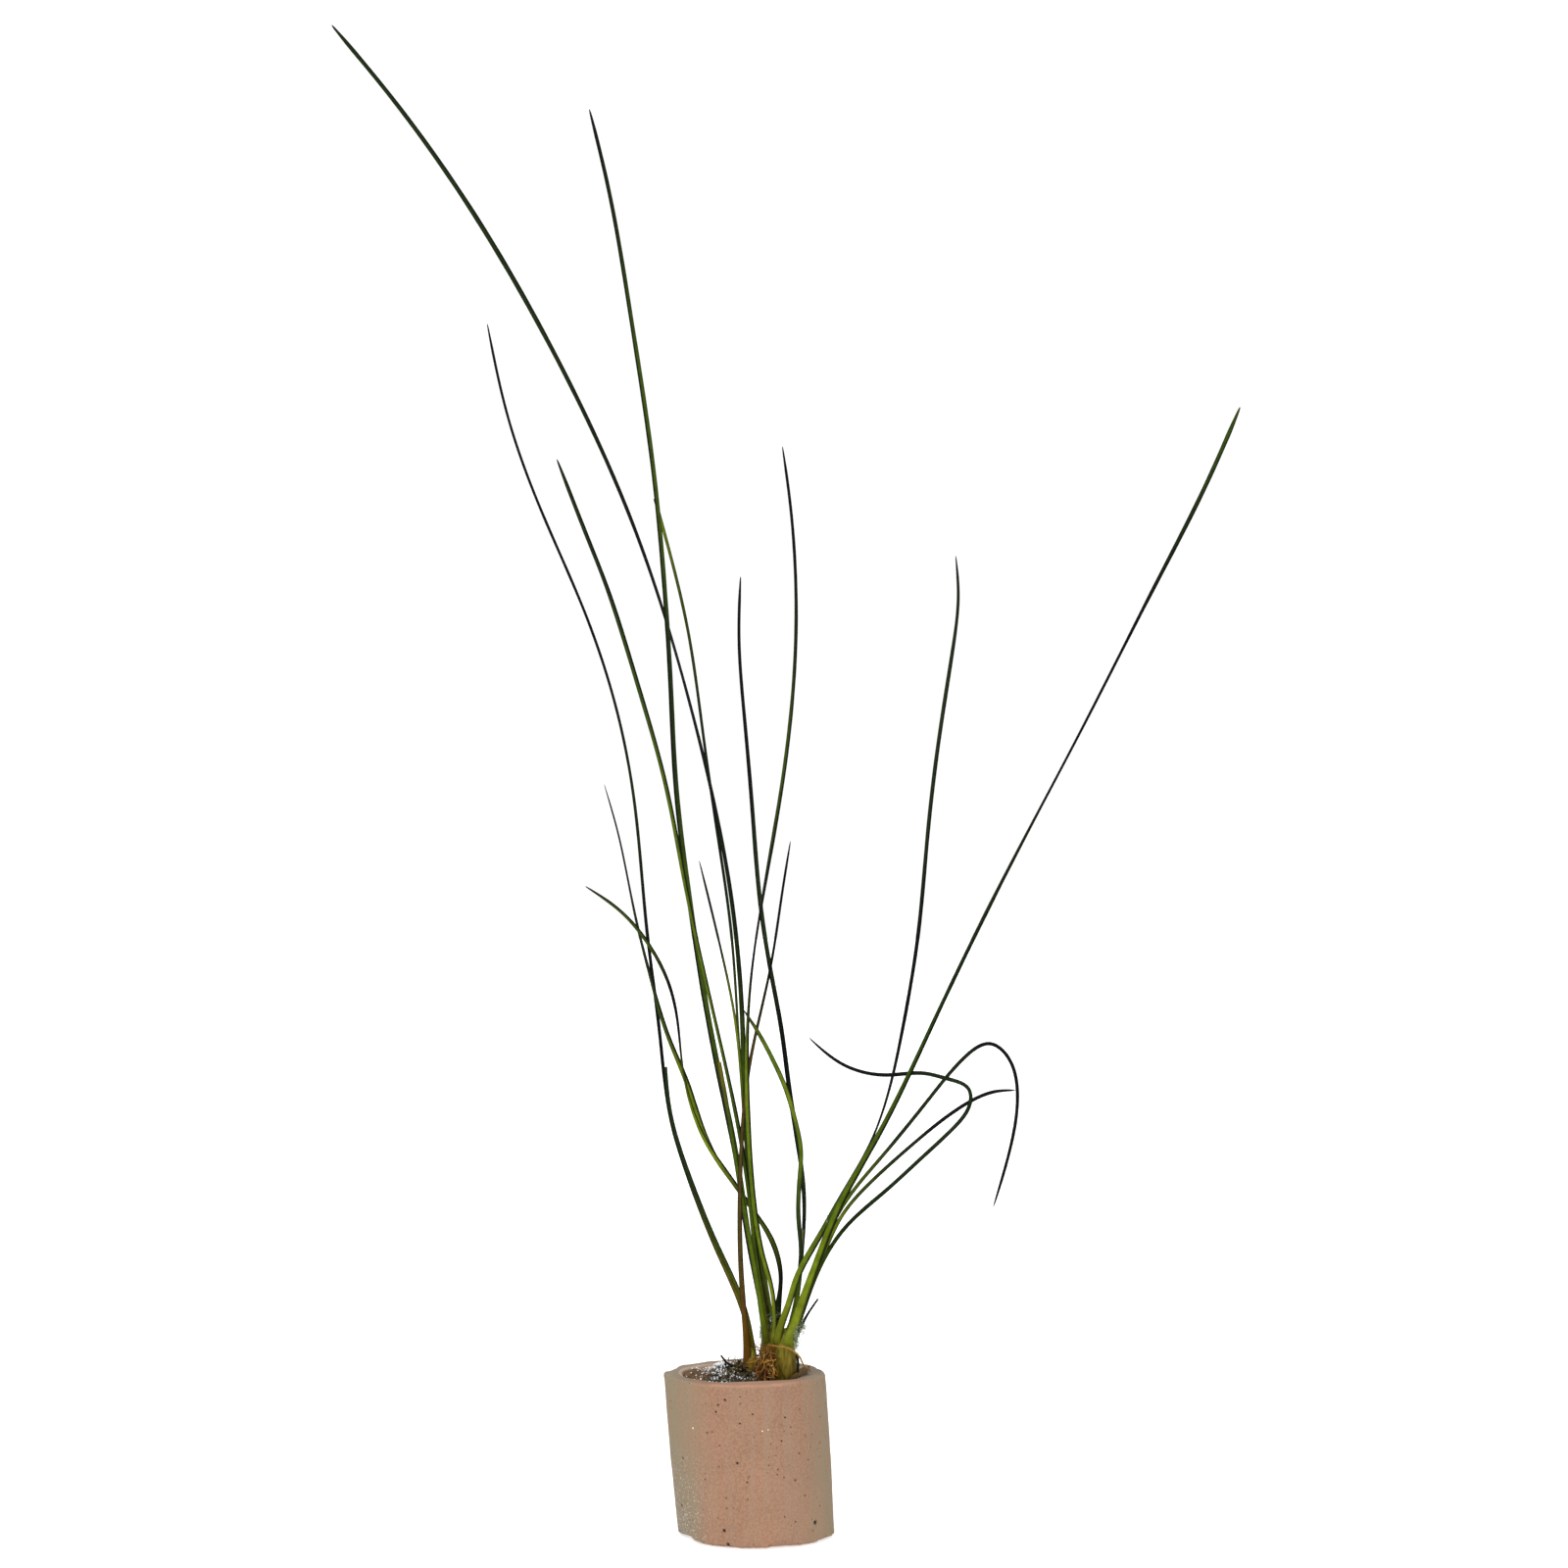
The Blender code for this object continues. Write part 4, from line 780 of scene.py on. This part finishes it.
ROOT_SIDES = 9

# Root skin: dry, wrinkled and dull.
root_skin = wrinkled_skin("dry root skin", 1.0, 0.4, 0.3, 0.7, 0.6, 1.3, 0.06,
                          Roughness=0.65, IOR=1.45, Specular_IOR_Level=0.25)

for number, (name, root) in enumerate(ROOTS.items()):
    route = smooth_route(root["points"], 0.3)
    share = np.linspace(0, 1, len(route))
    route += 0.07 * np.stack([unevenness(route, 2.2, 61 + number + i) for i in range(3)], axis=1)
    radius = root["diameter"] / 2 * (1 - 0.3 * share) * (1 + 0.12 * unevenness(route, 1.1, 71 + number))
    radius[[0, -1]] = 0
    corners, faces = tubes(route[None], radius[None], ROOT_SIDES)
    tones = np.repeat(blend_tones(root["tones"], share), ROOT_SIDES + 1, axis=0)
    add_piece(name + "_skin", corners, root_skin, [name], faces, tone=tones)


def strands(name, draw, starts, lean, scatter, lengths, bend, radius, outline, sides, tones, finish):
    """Adds fine strands from the starts, which head about a lean and wander, each in one of the tones.

    The outline is a strand's radius at equal steps along it, as shares of the radius drawn for it.
    """
    count = len(starts)
    heading = unit(np.array(lean) + draw.normal(scale=scatter, size=(count, 3)))
    paths = wandering(draw, starts, heading, draw.uniform(*lengths, count), len(outline), bend)
    corners, faces = tubes(paths, draw.uniform(*radius, (count, 1)) * outline, sides)
    picked = draw.integers(0, len(tones), count)
    colours = np.array([linear(tone) for tone in tones])[picked]
    colours = np.repeat(colours, len(outline) * (sides + 1), axis=0)
    add_piece(name, corners, finish, faces=faces, tone=colours)


def rootlets(name, seed, count, box, lean, lengths, radius, tones, points=11, bend=0.3):
    """A mat of fine strands that start anywhere between two corners of a box."""
    draw = np.random.default_rng(seed)
    starts = draw.uniform(*box, (count, 3))
    outline = np.round(np.sin(np.pi * np.linspace(0.0, 1.0, points)) ** 0.35, 6)
    strands(name, draw, starts, lean, 0.55, lengths, bend, radius, outline, 5, tones, root_skin)


ORANGE = ("#9a6a24", "#80501a", "#633810", "#b08a44", "#44260c", "#86601f", "#52300e")
rootlets("rootlets_middle", 81, 110, ((1.0, -5.8, 34.6), (3.2, -2.4, 39.8)), (-0.1, -0.1, -0.8), (1.8, 4.4),
         (0.06, 0.12), ORANGE)
rootlets("rootlets_bulb", 82, 26, ((2.6, -7.0, 34.6), (4.1, -6.2, 38.2)), (0.0, 0.0, -0.6), (1.2, 2.8),
         (0.06, 0.1), ("#cfa458", "#b07c2c", "#8e5a1c", "#d8b874"), bend=0.5)
rootlets("rootlets_left", 83, 70, ((0.1, -1.6, 35.0), (1.7, 1.2, 39.3)), (0.0, -0.4, -0.6), (1.0, 2.2),
         (0.07, 0.13), ("#8a6a2c", "#6a4a1c", "#a8823c"))
rootlets("peat_threads", 84, 260, ((-6.8, -0.5, 33.3), (-0.5, 9.0, 35.3)), (0.6, 0.0, -0.3), (0.8, 3.0),
         (0.06, 0.16), ("#120e07", "#33280f", "#54461a", "#0a0805", "#6e5a24", "#8c7a4a", "#5f5a22"), 7)
rootlets("peat_crumbs", 85, 170, ((-12.0, -9.5, 32.6), (6.5, 1.0, 33.4)), (0.3, 0.0, 0.0), (0.5, 1.8),
         (0.05, 0.12), ("#1c160c", "#3a2e12", "#2a2010", "#0e0c08"), points=6)

# The old sheath: the dead foot of a leaf that came off. It is a thin curved scale, dark brown to tan, that
# lies on the wool round the bulb's right side.
scale_points = [(7, -7.5, 34), (7.9, -6.9, 34.3), (9.6, -4.7, 34.9), (10.5, -1.6, 35.5), (10.7, -0.6, 35.6)]
scale_route = smooth_route(scale_points, 0.15)
scale_run = np.linspace(0, 1, len(scale_route))
half_wide = np.sin(np.pi * scale_run) ** 0.5 * (0.9 + 0.35 * scale_run + 0.1 * np.sin(9 * scale_run + 2))
tilt = unit(np.array([-0.35, -0.75, 0.75]) + 0 * scale_route)
thickness = 0.25 * np.sin(np.pi * scale_run) ** 0.5
rings, across = strap(scale_route, tilt, half_wide, thickness, -0.35 + 0 * scale_run)
tones = blend_tones(("#2c2210", "#4e3a18", "#6a5026", "#5a4522"), scale_run)[:, None]
add_piece("old_sheath_scale", rings, root_skin, ["old_sheath"],
          tone=tones * (1 - 0.35 * across[..., None]))


# The fuzz: the torn, dried skin of old sheaths, which frays into short whitish hairs on the feet of the
# leaves. It stands in five tufts, the thickest at the bulb's right.
def fuzz(name, seed, count, middle, spread, lean, length, tones):
    """A tuft of short hairs that start about a middle, as far apart as the spread."""
    draw = np.random.default_rng(seed)
    starts = np.array(middle) + draw.normal(size=(count, 3)) * spread
    strands(name, draw, starts, lean, 0.7, (length * 0.4, length), 0.35, (0.03, 0.06),
            np.array([0, 1, 0.9, 0.7, 0]), 4, tones, frayed)


frayed = new_finish("frayed sheath hair", Roughness=0.7, IOR=1.4, Specular_IOR_Level=0.2)
feed(frayed, Base_Color=node(frayed, "Attribute", attribute_name="tone")["Color"])
HAIRS = ("#98a386", "#74815c", "#566440", "#aeb69f")
fuzz("fuzz_left", 91, 150, (1.15, 0.0, 42.4), (0.25, 0.4, 0.9), (-0.7, -0.5, 0.3), 1.1, HAIRS)
fuzz("fuzz_low", 95, 240, (8.35, -7.7, 42.2), (0.26, 0.25, 1.3), (0.3, -0.6, 0.6), 0.8, HAIRS)
fuzz("fuzz_right", 92, 150, (9.4, -6.6, 45.0), (0.35, 0.4, 1.0), (0.8, -0.4, 0.2), 1.1, HAIRS)
fuzz("fuzz_middle", 93, 110, (3.5, -0.9, 45.6), (0.7, 0.5, 1.0), (0.0, -0.6, 0.6), 1.2, HAIRS[1:3])
fuzz("fuzz_fork", 94, 40, (14.6, -7.0, 66.5), (0.4, 0.4, 2.4), (0.6, -0.5, 0.4), 0.8, HAIRS)

# The stage: a white floor and a white backdrop all round, which only the camera sees, with soft light from
# above and in front.
scene = bpy.context.scene


def stage_part(name, corners, finish):
    """A grid of corners, in metres, that is no piece of the plant."""
    mesh = bpy.data.meshes.new(name)
    mesh.from_pydata(corners.reshape(-1, 3).tolist(), [], grid_faces(*corners.shape[:2]).tolist())
    mesh.materials.append(finish)
    part = bpy.data.objects.new(name, mesh)
    scene.collection.objects.link(part)
    return part


turn, ring = np.linspace(0, 2 * np.pi, 97), np.array([0.0, 0.3, 1.2, 2.9])[:, None]
tilt = np.radians(np.linspace(-2, 90, 24))[:, None]
level = np.stack([ring * np.cos(turn), ring * np.sin(turn), 0 * ring * turn], axis=-1)
bowl = [np.cos(tilt) * np.cos(turn), np.cos(tilt) * np.sin(turn), np.sin(tilt) + 0 * turn]
bowl = 3.0 * np.stack(bowl, axis=-1)
paper = new_finish("white paper", Base_Color="#f2f2f2", Roughness=0.9, Emission_Color="#ffffff",
                   Emission_Strength=0.55)
glow = new_finish("lit backdrop", Base_Color="#000000", Emission_Color="#ffffff", Emission_Strength=1.0)
floor, backdrop = stage_part("floor", level, paper), stage_part("backdrop", bowl, glow)
backdrop.visible_diffuse = backdrop.visible_glossy = backdrop.visible_transmission = False
backdrop.visible_shadow = False

scene.view_settings.view_transform = "Standard"
scene.world = bpy.data.worlds.new("studio")
scene.world.use_nodes = True
scene.world.node_tree.nodes["Background"].inputs["Color"].default_value = (0.55, 0.56, 0.57, 1.0)

for name, turn, lift, strength, softness in (("key", -22, 50, 1.9, 45), ("fill", 40, 30, 0.5, 60)):
    lamp = bpy.data.lights.new(name, "SUN")
    lamp.energy, lamp.angle = strength, np.radians(softness)
    light = bpy.data.objects.new(name, lamp)
    light.rotation_euler = (np.radians(90 - lift), 0, np.radians(turn))
    scene.collection.objects.link(light)

# The camera stands level with the middle of the plant, where the photograph was taken from.
SENSOR = 36.0
FIELD = 1600 * 0.2086                    # mm across the picture in the plane of the pot's axis
camera = bpy.data.objects.new("camera", bpy.data.cameras.new("camera"))
camera.data.sensor_width = SENSOR
camera.data.lens = SENSOR * -EYE[1] / FIELD
camera.location = (EYE + (-0.1, 0.0, 0.1)) * MM      # half a pixel, as points are sighted at pixels' middles
camera.rotation_euler = (np.radians(90), 0, 0)
scene.collection.objects.link(camera)
scene.camera = camera
